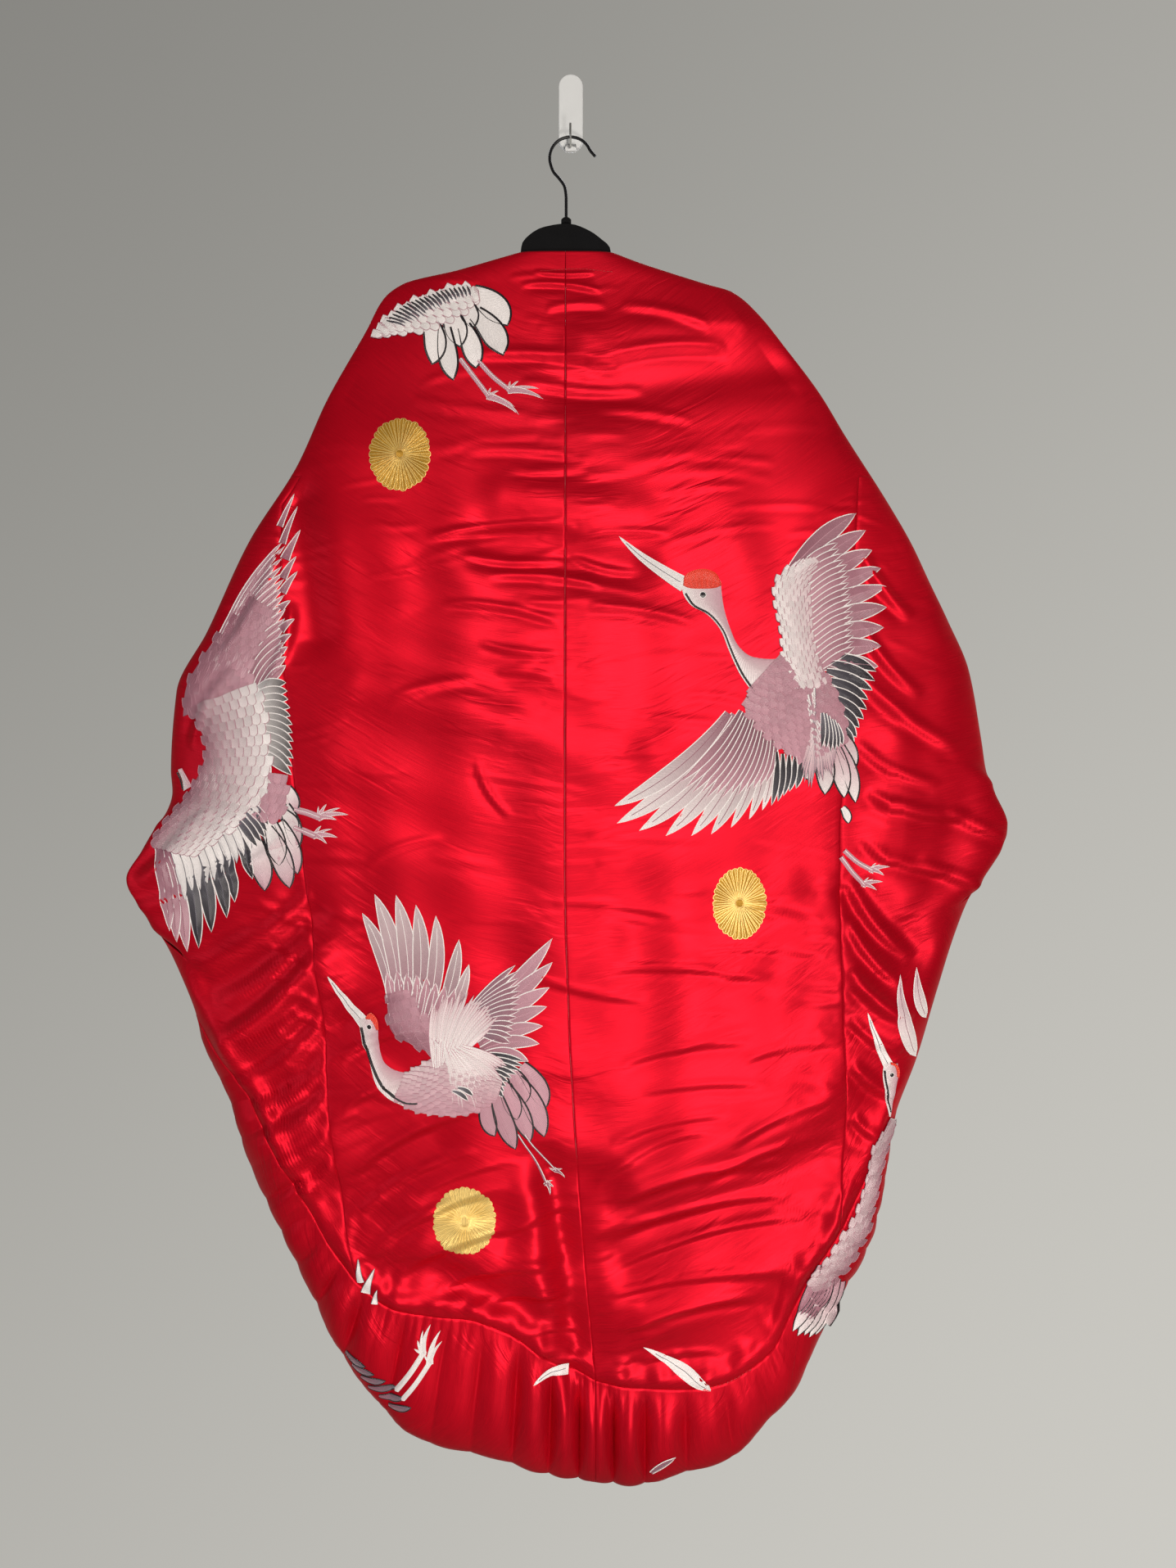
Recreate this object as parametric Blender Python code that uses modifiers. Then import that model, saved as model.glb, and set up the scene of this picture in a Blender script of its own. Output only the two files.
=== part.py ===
"""Cocoon coat cut from uchikake cloth, hung by the neck on a slim hanger and a wall hook.

Metres, +Z up. The wall is the plane y = 0 and the coat hangs in front of it, its back
towards -Y. The origin is the middle of the wall plate's back face. Seen from the back,
left is -X. The coat is a wide rectangle of four kimono widths whose neck, fronts and hem
are one edge, set into one gathered band, with a cuff left open at each side fold.

Every horizontal section is a flat loop: a back layer and a front layer that meet at a
rounded fold. The tables give the folds, seams and edges in real sizes, by height.
"""

import math

import bpy
import bmesh
import numpy as np

# ---- Driving dimensions ----
CLOTH_WALL = 0.002  # satin with its lining
BAND_WALL = 0.003  # band, folded double
TAPE_WALL = 0.001
SEAM_GAP = 0.0011  # from the edge of a panel to the next one
BAND_GAP = 0.0007  # from the seam line to the band, which meets it at an angle
NECK_HEIGHT = -0.189  # top edge of the back
BAND_WIDTH = 0.165
BAND_NECK_WIDTH = 0.050  # band folded narrow at the neck
COLLAR_SPAN = (-0.047, 0.036, 0.0005, -0.232)  # left and right end, height above the neck, lower edge
TAPE_SPAN = (-0.0245, 0.0035, 0.0020, -0.206)
SEAM_TOP = -0.465  # height where the side seams turn round the fold to the front
FOLD_INSET = 0.014  # how far short of the fold a side seam keeps there
BAND_ROUND = 0.080  # how far in from its fold the band is still rounding
BAND_SETTLE = 0.050  # length over which the band leaves the body's surface, and its gathers grow
NARROW_FROM = -0.62  # height where the front band starts to narrow
NARROW_RUN = 0.42  # height over which it narrows
GATHER_END = 10  # stations over which the gathers die away before the side fold
GATHER_PITCH = 0.044
GATHER_DEPTH = 0.0045
FOLD_WAVE = 0.35  # share of the gathers' depth that the band's folded edge shows
FRONT_REACH = -0.80  # height where the front panel's columns start to end on the band

HANGER_Y = -0.030  # plane of hanger and hook
HANGER_THICK = 0.005
HANGER_INSET = 0.885  # share of the coat's width that the hanger's arms reach
HANGER_WIRE = 0.0019
HOOK_CENTRE = (0.0, -0.0690)
HOOK_RADIUS = 0.0257
STEM_X = -0.0053
BOSS_RADIUS = 0.0062
BOSS_BOTTOM = -0.1508
BOSS_TOP = -0.1442

PLATE_WIDTH = 0.0304
PLATE_HEIGHT = 0.0958
PLATE_THICK = 0.0075
SEAT_SIZE = (0.0140, 0.0060, 0.0088)
PIN_WIRE = 0.0014
PIN_TIP = -0.0300  # height of its bent-up end
PIN_BEND = 0.0042
PIN_PAST = 0.0064  # how far it reaches past the hanger's hook
TOUCH = 0.0003  # clearance of pieces that touch

# ---- Rows and columns of the panels ----
SHOULDER_ROWS = 13
BODY_ROWS = 19
BACK_COLUMNS = 10
TURN_COLUMNS = 3
UPPER_FRONT_COLUMNS = 6
SIDE_COLUMNS = 6
FRONT_COLUMNS = 7
BAND_STEPS = (4, 3, 2)  # stations of the band for each column of back, side and front
BAND_SHARES = (0, 0.03, 0.10, 0.20, 0.34, 0.50, 0.66, 0.83, 1)  # rows of the band, as shares of its width

# ---- Tables, each with its height first ----
# Fold of the coat at each side: height, x
LEFT_FOLD = (
    (-0.189, -0.068), (-0.195, -0.090), (-0.209, -0.140), (-0.225, -0.205), (-0.243, -0.229),
    (-0.284, -0.251), (-0.370, -0.299), (-0.451, -0.335), (-0.545, -0.393), (-0.655, -0.443),
    (-0.729, -0.480), (-0.824, -0.486), (-0.850, -0.484), (-0.888, -0.496), (-0.920, -0.514),
    (-0.955, -0.533), (-1.006, -0.506), (-1.068, -0.475), (-1.125, -0.453), (-1.250, -0.430),
    (-1.450, -0.410), (-1.620, -0.400),
)
RIGHT_FOLD = (
    (-0.189, 0.056), (-0.200, 0.086), (-0.213, 0.126), (-0.226, 0.168), (-0.235, 0.198),
    (-0.260, 0.228), (-0.306, 0.265), (-0.363, 0.307), (-0.412, 0.336), (-0.494, 0.387),
    (-0.547, 0.417), (-0.595, 0.439), (-0.640, 0.460), (-0.703, 0.486), (-0.784, 0.500),
    (-0.845, 0.509), (-0.890, 0.526), (-0.913, 0.521), (-0.962, 0.492), (-1.023, 0.467),
    (-1.089, 0.446), (-1.172, 0.421), (-1.250, 0.393), (-1.350, 0.378), (-1.500, 0.370),
    (-1.620, 0.365),
)
# Centre-back seam and side seams: height, x
CENTRE_SEAM = (
    (-0.189, -0.006), (-0.940, -0.006), (-1.125, -0.001), (-1.300, 0.009), (-1.430, 0.019),
    (-1.560, 0.031),
)
LEFT_SEAM = (
    (-0.465, -0.353), (-0.611, -0.348), (-0.752, -0.337), (-0.946, -0.316), (-1.100, -0.296),
    (-1.255, -0.283), (-1.367, -0.268), (-1.437, -0.252), (-1.500, -0.235),
)
RIGHT_SEAM = (
    (-0.465, 0.352), (-0.511, 0.347), (-0.615, 0.338), (-0.785, 0.330), (-0.909, 0.321),
    (-1.070, 0.323), (-1.224, 0.329), (-1.377, 0.322), (-1.500, 0.315),
)
# Depth of the sections: height, y of the fold, depth of the back layer, of the front layer,
# and how square the section is (2 is an ellipse)
DEPTHS = (
    (-0.189, -0.0300, 0.0104, 0.0094, 4.2), (-0.205, -0.0300, 0.0111, 0.0097, 3.0),
    (-0.225, -0.0300, 0.0118, 0.0098, 2.7),
    (-0.250, -0.0308, 0.0130, 0.0100, 3.2), (-0.400, -0.0340, 0.0200, 0.0150, 4.5),
    (-0.600, -0.0400, 0.0300, 0.0210, 6.5), (-0.900, -0.0460, 0.0380, 0.0270, 7.0),
    (-1.200, -0.0480, 0.0360, 0.0290, 7.0), (-1.500, -0.0460, 0.0300, 0.0280, 7.0),
    (-1.750, -0.0450, 0.0300, 0.0280, 7.0),
)
# Hem edge of the body, from the centre-back seam to the side fold, where its last row lies:
# x, height, direction in towards the body in degrees, width of band that shows below it
LEFT_HEM = (
    (0.031, -1.556, 90, 0.133), (-0.027, -1.529, 87, 0.150), (-0.070, -1.500, 84, 0.163),
    (-0.120, -1.481, 81, 0.170), (-0.167, -1.476, 79, 0.156), (-0.210, -1.468, 77, 0.122),
    (-0.252, -1.437, 70, 0.092), (-0.278, -1.405, 57, 0.066), (-0.304, -1.365, 43, 0.053),
    (-0.345, -1.290, 36, 0.046), (-0.389, -1.213, 20, 0.028), (-0.433, -1.149, 8, 0.014),
    (-0.453, -1.120, 3, 0.000),
)
RIGHT_HEM = (
    (0.031, -1.556, 90, 0.133), (0.080, -1.563, 91, 0.130), (0.129, -1.564, 93, 0.115),
    (0.178, -1.558, 99, 0.104), (0.216, -1.539, 108, 0.079), (0.244, -1.514, 115, 0.070),
    (0.262, -1.475, 130, 0.058), (0.290, -1.423, 133, 0.056), (0.322, -1.377, 146, 0.048),
    (0.350, -1.325, 155, 0.033), (0.366, -1.290, 165, 0.022), (0.381, -1.262, 172, 0.011),
    (0.393, -1.238, 177, 0.000),
)
# Front edge of the body, from the side fold to the neck: x, height, direction inwards
LEFT_FRONT = (
    (-0.439, -1.070, 0), (-0.405, -0.980, -6), (-0.339, -0.870, -10), (-0.308, -0.800, -12),
    (-0.240, -0.630, -14), (-0.195, -0.500, -16), (-0.150, -0.380, -18), (-0.112, -0.290, -20),
    (-0.080, -0.230, -20), (-0.058, -0.191, -20),
)
RIGHT_FRONT = (
    (0.383, -1.180, 181), (0.366, -1.060, 185), (0.352, -0.930, 189), (0.318, -0.800, 192),
    (0.240, -0.630, 194), (0.195, -0.500, 196), (0.150, -0.380, 198), (0.107, -0.290, 200),
    (0.072, -0.230, 200), (0.046, -0.191, 200),
)
# Open cuffs: highest and lowest point of each
LEFT_CUFF = (-0.893, -1.012)
RIGHT_CUFF = (-0.842, -0.962)
CUFF_BLEND = 0.035  # how far past its ends a cuff still squares the fold
CUFF_COLUMNS = 2  # columns each side of the fold that a cuff leaves open
CUFF_PULL = (1.0, 0.55, 0.20, 0.05)  # how far the columns beside a cuff are drawn out to it
# Largest folds of the back: start x, start height, end x, end height, half width, depth.
# A ridge has a positive depth, a valley a negative one.
LARGE_FOLDS = (
    (0.012, -1.32, 0.040, -1.53, 0.034, -0.012), (-0.040, -1.34, -0.008, -1.49, 0.030, 0.009),
    (-0.150, -1.42, -0.010, -1.49, 0.026, -0.009), (-0.170, -1.38, -0.020, -1.44, 0.026, 0.007),
    (0.000, -0.37, 0.260, -0.33, 0.028, -0.006), (0.020, -0.30, 0.200, -0.27, 0.026, 0.004),
    (-0.100, -0.55, 0.070, -0.58, 0.028, -0.008), (-0.080, -0.49, 0.080, -0.51, 0.026, 0.005),
    (-0.330, -0.50, -0.305, -0.66, 0.026, -0.010), (-0.250, -0.72, -0.080, -0.77, 0.030, 0.006),
    (-0.430, -1.08, -0.310, -1.00, 0.024, -0.009), (-0.410, -1.15, -0.295, -1.06, 0.024, 0.009),
    (-0.390, -1.22, -0.275, -1.13, 0.024, -0.009), (-0.350, -1.29, -0.230, -1.20, 0.026, 0.009),
    (-0.310, -1.36, -0.160, -1.27, 0.028, -0.008), (-0.210, -1.12, -0.060, -1.17, 0.030, 0.006),
    (0.060, -1.40, 0.310, -1.29, 0.030, -0.010), (0.090, -1.48, 0.270, -1.40, 0.028, 0.009),
    (0.080, -1.31, 0.300, -1.21, 0.030, 0.007), (0.345, -0.97, 0.410, -1.04, 0.024, -0.010),
    (0.335, -1.08, 0.400, -1.14, 0.024, 0.008), (0.100, -0.80, 0.300, -0.74, 0.032, 0.006),
    (0.080, -1.02, 0.260, -0.97, 0.030, -0.006),
)

# Columns of each part, as shares of its width, closer together towards the fold
BACK_SHARES = np.linspace(0, 1, BACK_COLUMNS + 1)
TURN_SHARES = 1 - (1 - np.linspace(0, 1, TURN_COLUMNS + 1)[1:]) ** 2
OVER_SHARES = np.linspace(0, 1, UPPER_FRONT_COLUMNS + 1)[1:] ** 2
SIDE_SHARES = 1 - (1 - np.linspace(0, 1, SIDE_COLUMNS + 1)) ** 2
FRONT_SHARES = np.linspace(0, 1, FRONT_COLUMNS + 1) ** 1.6

SATIN = ("red_satin", (0.60, 0.012, 0.022), 0.42, 0.0)
LINING = ("ivory_lining", (0.80, 0.76, 0.68), 0.70, 0.0)
FLOCK = ("black_flocking", (0.010, 0.010, 0.011), 0.95, 0.0)
WIRE = ("black_enamelled_wire", (0.014, 0.014, 0.015), 0.45, 0.0)
PLASTIC = ("white_plastic", (0.86, 0.86, 0.84), 0.40, 0.0)
STEEL = ("bright_steel", (0.62, 0.62, 0.60), 0.28, 1.0)


# ---- Curves through tables ----
def smooth(rows, at):
    """Reads a smooth curve through (position, value) rows: cubic pieces whose slope at a
    row is the harmonic mean of the slopes beside it, so that it never overshoots."""
    rows = np.array(sorted(rows), float)
    x, v = rows[:, 0], rows[:, 1]
    h = np.diff(x)
    d = np.diff(v) / h
    m = np.concatenate([[d[0]], np.zeros(len(d) - 1), [d[-1]]])
    same = d[:-1] * d[1:] > 0
    m[1:-1][same] = 2 * d[:-1][same] * d[1:][same] / (d[:-1] + d[1:])[same]
    at = np.clip(np.asarray(at, float), x[0], x[-1])
    i = np.clip(np.searchsorted(x, at, side="right") - 1, 0, len(h) - 1)
    s = (at - x[i]) / h[i]
    low = (1 + 2 * s) * (1 - s) ** 2 * v[i] + s * (1 - s) ** 2 * h[i] * m[i]
    return low + s * s * (3 - 2 * s) * v[i + 1] + s * s * (s - 1) * h[i] * m[i + 1]


def column(rows, n):
    """The (first column, nth column) pairs of a table."""
    return [(row[0], row[n]) for row in rows]


def along(points, count):
    """Places count points at even lengths on a curve through the given rows."""
    points = np.array(points, float)
    length = np.concatenate([[0], np.cumsum(np.linalg.norm(np.diff(points[:, :2], axis=0), axis=1))])
    at = np.linspace(0, length[-1], count)
    return np.stack([smooth(list(zip(length, points[:, k])), at) for k in range(points.shape[1])], 1)


def step(x):
    """Rises smoothly from 0 to 1."""
    x = np.clip(x, 0, 1)
    return x * x * (3 - 2 * x)


class Side:
    """One side of the coat, with its tables."""

    def __init__(self, name, fold, seam, hem, front, cuff):
        self.name, self.fold_rows, self.seam_rows, self.cuff = name, fold, seam, cuff
        self.way = 1 if fold[0][1] > 0 else -1
        _, height, inward, shown = hem[-1]
        turn = (float(self.fold(height)), height, inward, shown)
        self.hem = along([*hem[:-1], turn], 400)
        self.front = along([turn] + [(*row, 0) for row in front], 400)
        self.front_rows = [(row[1], row[0]) for row in front]

    def fold(self, z):
        return smooth(self.fold_rows, z)

    def seam(self, z):
        """Side seam, which above its top keeps just short of the fold."""
        z = np.asarray(z, float)
        short = self.fold(z) - self.way * FOLD_INSET
        seam = smooth(self.seam_rows, z)
        inner = np.where(np.abs(seam) < np.abs(short), seam, short)
        return np.where(z > SEAM_TOP, short, inner)

    def front_edge(self, z):
        """Edge of the front layer. Below FRONT_REACH it keeps its distance from the fold."""
        z = np.asarray(z, float)
        kept = smooth(self.front_rows, FRONT_REACH) - self.fold(FRONT_REACH)
        return np.where(z > FRONT_REACH, smooth(self.front_rows, z), self.fold(z) + kept)


LEFT = Side("left", LEFT_FOLD, LEFT_SEAM, LEFT_HEM, LEFT_FRONT, LEFT_CUFF)
RIGHT = Side("right", RIGHT_FOLD, RIGHT_SEAM, RIGHT_HEM, RIGHT_FRONT, RIGHT_CUFF)


def centre(z):
    return smooth(CENTRE_SEAM, z)


def depth(z):
    """y of the fold, depths of the back and front layers, and squareness at a height."""
    return [smooth(column(DEPTHS, n), z) for n in (1, 2, 3, 4)]


def large_folds(x, z):
    """How far the back stands out at (x, z): each fold is a soft ridge or valley along a
    line, a bell across it and rounded at its ends."""
    out = np.zeros(np.broadcast(x, z).shape)
    for x0, z0, x1, z1, half, deep in LARGE_FOLDS:
        run = math.hypot(x1 - x0, z1 - z0)
        ex, ez = (x1 - x0) / run, (z1 - z0) / run
        s = (x - x0) * ex + (z - z0) * ez
        across = (x - x0) * ez - (z - z0) * ex
        past = np.maximum(0, np.abs(s - run / 2) - run / 2)
        out += deep * np.exp(-((across / half) ** 2) - (past / half) ** 2)
    return out


def body_point(side, x, z, front):
    """A point of the body's section at height z: x across, and y from a flattened ellipse,
    y = fold -+ depth * sqrt(1 - t ** square), with t the share of the half width."""
    middle, back_deep, front_deep, square = depth(z)
    t = np.clip((x - centre(z)) / (side.fold(z) - centre(z)), 0, 1)
    rise = np.sqrt(np.clip(1 - t**square, 0, 1))
    back = middle - back_deep * rise - large_folds(x, z) * np.clip(rise * 1.6, 0, 1) ** 2
    y = np.where(front, middle + front_deep * rise, back)
    return np.stack(np.broadcast_arrays(x, y, z), -1)


# ---- Meshes ----
def material(finish):
    name, colour, roughness, metallic = finish
    found = bpy.data.materials.get(name)
    if found:
        return found
    made = bpy.data.materials.new(name)
    made.use_nodes = True
    shader = made.node_tree.nodes["Principled BSDF"]
    shader.inputs["Base Color"].default_value = (*colour, 1.0)
    shader.inputs["Roughness"].default_value = roughness
    shader.inputs["Metallic"].default_value = metallic
    made.diffuse_color = (*colour, 1.0)
    return made


def add_object(name, data, finish):
    made = bpy.data.objects.new(name, data)
    made.data.materials.append(material(finish))
    coat_collection.objects.link(made)
    return made


def trimmed(grid, first_row=0.0, last_row=0.0, first_column=0.0, last_column=0.0):
    """Draws a grid's edges in by the given distances, along its own surface."""
    grid = grid.copy()
    for axis, end, inner, gap in (
        (0, 0, 1, first_row), (0, -1, -2, last_row), (1, 0, 1, first_column), (1, -1, -2, last_column),
    ):
        if gap:
            edge, beside = np.take(grid, end, axis), np.take(grid, inner, axis)
            way = beside - edge
            way /= np.maximum(np.linalg.norm(way, axis=-1, keepdims=True), 1e-9)
            if axis == 0:
                grid[end] = edge + way * gap
            else:
                grid[:, end] = edge + way * gap
    return grid


def add_cloth(name, grid, wall, finish, left_out=None):
    """A panel: a grid primitive whose points are moved to the surface, some faces left
    out, and thickened evenly to both sides."""
    rows, columns = grid.shape[:2]
    mesh = bpy.data.meshes.new(name)
    work = bmesh.new()
    bmesh.ops.create_grid(work, x_segments=columns - 1, y_segments=rows - 1, size=1)
    work.verts.ensure_lookup_table()
    for vertex, place in zip(work.verts, grid.reshape(-1, 3)):
        vertex.co = place
    work.faces.ensure_lookup_table()
    if left_out is not None:
        gone = [work.faces[i] for i in np.flatnonzero(left_out.reshape(-1))]
        bmesh.ops.delete(work, geom=gone, context="FACES")
    work.to_mesh(mesh)
    work.free()
    mesh.shade_smooth()
    made = add_object(name, mesh, finish)
    shell = made.modifiers.new("wall", "SOLIDIFY")
    shell.thickness = wall
    shell.offset = 0.0
    return made


def edge_rows(side, part, shares):
    """Rows of the body's edge where the columns of a part end: x, height, direction in and
    shown width. part is back, side or front, and a share of 0 to 1 crosses it."""
    rim = side.front if part == "front" else side.hem
    x, z = rim[:, 0], rim[:, 1]
    fold, seam, mid = side.fold(z), side.seam(z), centre(z)
    if part == "back":
        across = (x - mid) / (seam - mid)
    elif part == "side":
        across = (x - seam) / (fold - seam)
    else:
        across = (x - fold) / (side.front_edge(z) - fold)
    use = (across > -0.03) & (across < 1.03)
    if part == "front":
        use &= z <= FRONT_REACH + 0.02
    across = np.maximum.accumulate(across[use]) + np.arange(use.sum()) * 1e-9
    return np.stack([np.interp(shares, across, rim[use, k]) for k in range(4)], 1)


def patch(side, part, shares, first=0.0):
    """Points of a patch of the body whose columns run evenly from the height of the seam
    top down to their own ends on the band."""
    ends = edge_rows(side, part, shares)[:, 1]
    z = SEAM_TOP + (ends - SEAM_TOP) * np.linspace(0, 1, BODY_ROWS + 1)[:, None]
    start, end = {
        "back": (centre, side.seam), "side": (side.seam, side.fold), "front": (side.fold, side.front_edge)
    }[part]
    return body_point(side, start(z) + (end(z) - start(z)) * shares, z, part == "front")


def upper_rows(side):
    """Points above the seam top: back, turn over the fold, and upper front."""
    z = np.linspace(NECK_HEIGHT, SEAM_TOP, 200)
    mean = (RIGHT.fold(z) - LEFT.fold(z)) / 2
    z = along(np.stack([mean, z], 1)[::9], SHOULDER_ROWS + 1)[:, 1][:, None]
    z[0], z[-1] = NECK_HEIGHT, SEAM_TOP
    seam, fold, edge = side.seam(z), side.fold(z), side.front_edge(z)
    back = body_point(side, centre(z) + (seam - centre(z)) * BACK_SHARES, z + 0 * BACK_SHARES, False)
    turn = body_point(side, seam + (fold - seam) * TURN_SHARES, z + 0 * TURN_SHARES, False)
    front = body_point(side, fold + (edge - fold) * OVER_SHARES, z + 0 * OVER_SHARES, True)
    return np.concatenate([back, turn, front], 1)


def add_back_panel(side):
    """From the centre seam to the side seam. Above the side seam's top it goes on over
    the shoulder fold and makes the upper front."""
    upper = trimmed(upper_rows(side), last_column=SEAM_GAP / 2)
    lower = trimmed(patch(side, "back", BACK_SHARES)[1:], last_column=SEAM_GAP / 2)
    spare = upper.shape[1] - lower.shape[1]
    lower = np.concatenate([lower, np.repeat(lower[:, -1:], spare, 1)], 1)
    grid = trimmed(np.concatenate([upper, lower], 0), last_row=SEAM_GAP / 2, first_column=SEAM_GAP / 2)
    grid[SHOULDER_ROWS, BACK_COLUMNS + 1 :, 2] += SEAM_GAP / 2
    left_out = np.zeros((grid.shape[0] - 1, grid.shape[1] - 1), bool)
    left_out[SHOULDER_ROWS:, BACK_COLUMNS:] = True
    add_cloth(f"back_{side.name}", grid, CLOTH_WALL, SATIN, left_out)


def side_rows(side):
    """Points of a side panel from its seam round the fold to the front. At the cuff the
    columns beside the fold are drawn out to it, so that the open ends lie on the outline."""
    grid = np.concatenate(
        [patch(side, "side", SIDE_SHARES), patch(side, "front", FRONT_SHARES)[:, 1:]], 1
    )
    away = np.abs(np.arange(grid.shape[1]) - SIDE_COLUMNS) - CUFF_COLUMNS
    pull = np.interp(away, range(len(CUFF_PULL)), CUFF_PULL, right=0)
    z = grid[..., 2]
    past = np.maximum(z - side.cuff[0], side.cuff[1] - z)
    grid[..., 0] += (side.fold(z) - grid[..., 0]) * pull * (1 - step(past / CUFF_BLEND))
    return grid


def add_side_panel(side):
    """From the side seam round the fold to the front edge, open at the cuff."""
    half = SEAM_GAP / 2
    grid = trimmed(side_rows(side), first_row=half, last_row=half, first_column=half, last_column=half)
    left_out = np.zeros((grid.shape[0] - 1, grid.shape[1] - 1), bool)
    tip = grid[:, SIDE_COLUMNS, 2]
    rows = (tip[:-1] < side.cuff[0] + 0.02) & (tip[1:] > side.cuff[1] - 0.02)
    left_out[rows, SIDE_COLUMNS - CUFF_COLUMNS : SIDE_COLUMNS + CUFF_COLUMNS] = True
    add_cloth(f"side_{side.name}", grid, CLOTH_WALL, SATIN, left_out)


# ---- The band ----
def band_strip(stations, inward, shown, width):
    """Carries the band's cross-section along its seam. From the seam it runs out to its
    fold, turns there and comes back in on the wall's side, until its width is used up."""
    strip = []
    for start, angle, show, wide in zip(stations, np.radians(inward), shown, width):
        way = np.array([math.cos(angle), 0.0, math.sin(angle)])
        c = show - np.linspace(0, 2 * wide + BAND_ROUND, 700)
        line = start + way * (np.abs(c) - abs(show))[:, None]
        middle, back_deep, front_deep, _ = depth(line[:, 2])
        rise = np.sqrt(1 - (1 - np.minimum(np.abs(c) / BAND_ROUND, 1)) ** 2)
        y = np.where(c > 0, middle - back_deep * rise, middle + front_deep * rise)
        line[:, 1] = y + (start[1] - y[0]) * (1 - step((show - c) / BAND_SETTLE))
        length = np.concatenate([[0], np.cumsum(np.linalg.norm(np.diff(line, axis=0), axis=1))])
        fold_at = np.interp(0, c[::-1], length[::-1]) if show > 0 else 0
        at = BAND_GAP + (max(wide, fold_at) - BAND_GAP) * np.array(BAND_SHARES)
        strip.append(np.stack([np.interp(at, length, line[:, k]) for k in range(3)], 1))
    return np.array(strip).transpose(1, 0, 2)


def gathered(strip, fullness):
    """Waves the strip along its seam, none at the seam and full from BAND_SETTLE on. The
    pitch drifts a little, so that no two gathers are alike."""
    normal = np.cross(np.gradient(strip, axis=1), np.gradient(strip, axis=0))
    normal /= np.maximum(np.linalg.norm(normal, axis=-1, keepdims=True), 1e-9)
    run = np.concatenate([[0], np.cumsum(np.linalg.norm(np.diff(strip[0], axis=0), axis=1))])
    phase = 2 * math.pi * (run / GATHER_PITCH + 0.22 * np.sin(run / 0.071) + 0.13 * np.sin(run / 0.029))
    uneven = 0.7 + 0.3 * np.sin(run / 0.053 + 1.0)
    grow = step(BAND_WIDTH * np.array(BAND_SHARES) / BAND_SETTLE)[:, None]
    wave = normal * (GATHER_DEPTH * grow * fullness * np.sin(phase) * uneven)[..., None]
    return strip + wave * (FOLD_WAVE, 1, FOLD_WAVE)


def divided(points, steps):
    """Puts steps - 1 more points on each straight run between points."""
    at = np.linspace(0, len(points) - 1, (len(points) - 1) * steps + 1)
    return np.stack([np.interp(at, range(len(points)), points[:, k]) for k in range(points.shape[1])], 1)


def add_bands(side):
    """Band from the centre seam of the hem round the side fold and up the front to the
    neck, where it is folded narrow. Its stations are the body's own edge points, and it is
    parted on the front."""
    panel = side_rows(side)
    ends = (patch(side, "back", BACK_SHARES)[-1], panel[-1, : SIDE_COLUMNS + 1], panel[-1, SIDE_COLUMNS:])
    parts = zip(("back", "side", "front"), (BACK_SHARES, SIDE_SHARES, FRONT_SHARES), ends, BAND_STEPS)
    runs = [divided(np.hstack([end, edge_rows(side, part, shares)[:, 2:]]), steps)
            for part, shares, end, steps in parts]
    runs.append(np.vstack([panel[:-1, -1][::-1], upper_rows(side)[:-1, -1][::-1]]))
    height = runs[-1][:, 2]
    angle = np.interp(height, side.front[:, 1], side.front[:, 2])
    runs[-1] = np.hstack([runs[-1], angle[:, None], 0 * angle[:, None]])
    rim = np.vstack([runs[0], runs[1][1:], runs[2][1:], runs[3]])
    turn = len(runs[0]) + len(runs[1]) - 2
    parting = turn + len(runs[2]) - 1
    shown = rim[:, 4].copy()
    shown[turn:] = -np.abs(side.fold(rim[turn:, 2]) - rim[turn:, 0])
    shown[turn] = 0
    narrow = step((rim[:, 2] - NARROW_FROM) / NARROW_RUN)
    width = BAND_WIDTH + (BAND_NECK_WIDTH - BAND_WIDTH) * narrow
    fullness = 1 - step((np.arange(len(rim)) - turn) / GATHER_END + 0.8)
    strip = gathered(band_strip(rim[:, :3], rim[:, 3], shown, width), fullness)
    half = SEAM_GAP / 2
    hem = trimmed(strip[:, : parting + 1], first_column=half, last_column=half)
    front = trimmed(strip[:, parting:], first_column=half)
    add_cloth(f"hem_band_{side.name}", hem, BAND_WALL, SATIN)
    add_cloth(f"front_band_{side.name}", front, BAND_WALL, SATIN)


def add_neck_strip(name, left, right, above, bottom, inside, wall, finish):
    """A strip that lies inside the back of the neck and stands a little above its edge,
    made from the back's own points moved in by the given distance."""
    x = np.linspace(left, right, 11)
    z = np.linspace(NECK_HEIGHT + above, bottom, 4)[:, None]
    on_back = np.minimum(z, NECK_HEIGHT) + 0 * x
    grid = np.where(
        (x < centre(on_back))[..., None],
        body_point(LEFT, x + 0 * z, on_back, False),
        body_point(RIGHT, x + 0 * z, on_back, False),
    )
    grid[..., 1] += inside
    grid[..., 2] = z
    add_cloth(name, grid, wall, finish)


# ---- Hanger and hook ----
def add_flat(name, outline, thick, y, finish):
    """A flat outline in the x-z plane, given its thickness, as a filled 2D curve."""
    curve = bpy.data.curves.new(name, "CURVE")
    curve.dimensions = "2D"
    curve.fill_mode = "BOTH"
    curve.extrude = thick / 2
    line = curve.splines.new("POLY")
    line.points.add(len(outline) - 1)
    line.points.foreach_set("co", [v for x, z in outline for v in (x, z, 0.0, 1.0)])
    line.use_cyclic_u = True
    made = add_object(name, curve, finish)
    made.rotation_euler = (math.pi / 2, 0, 0)
    made.location = (0, y, 0)
    return made


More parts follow.
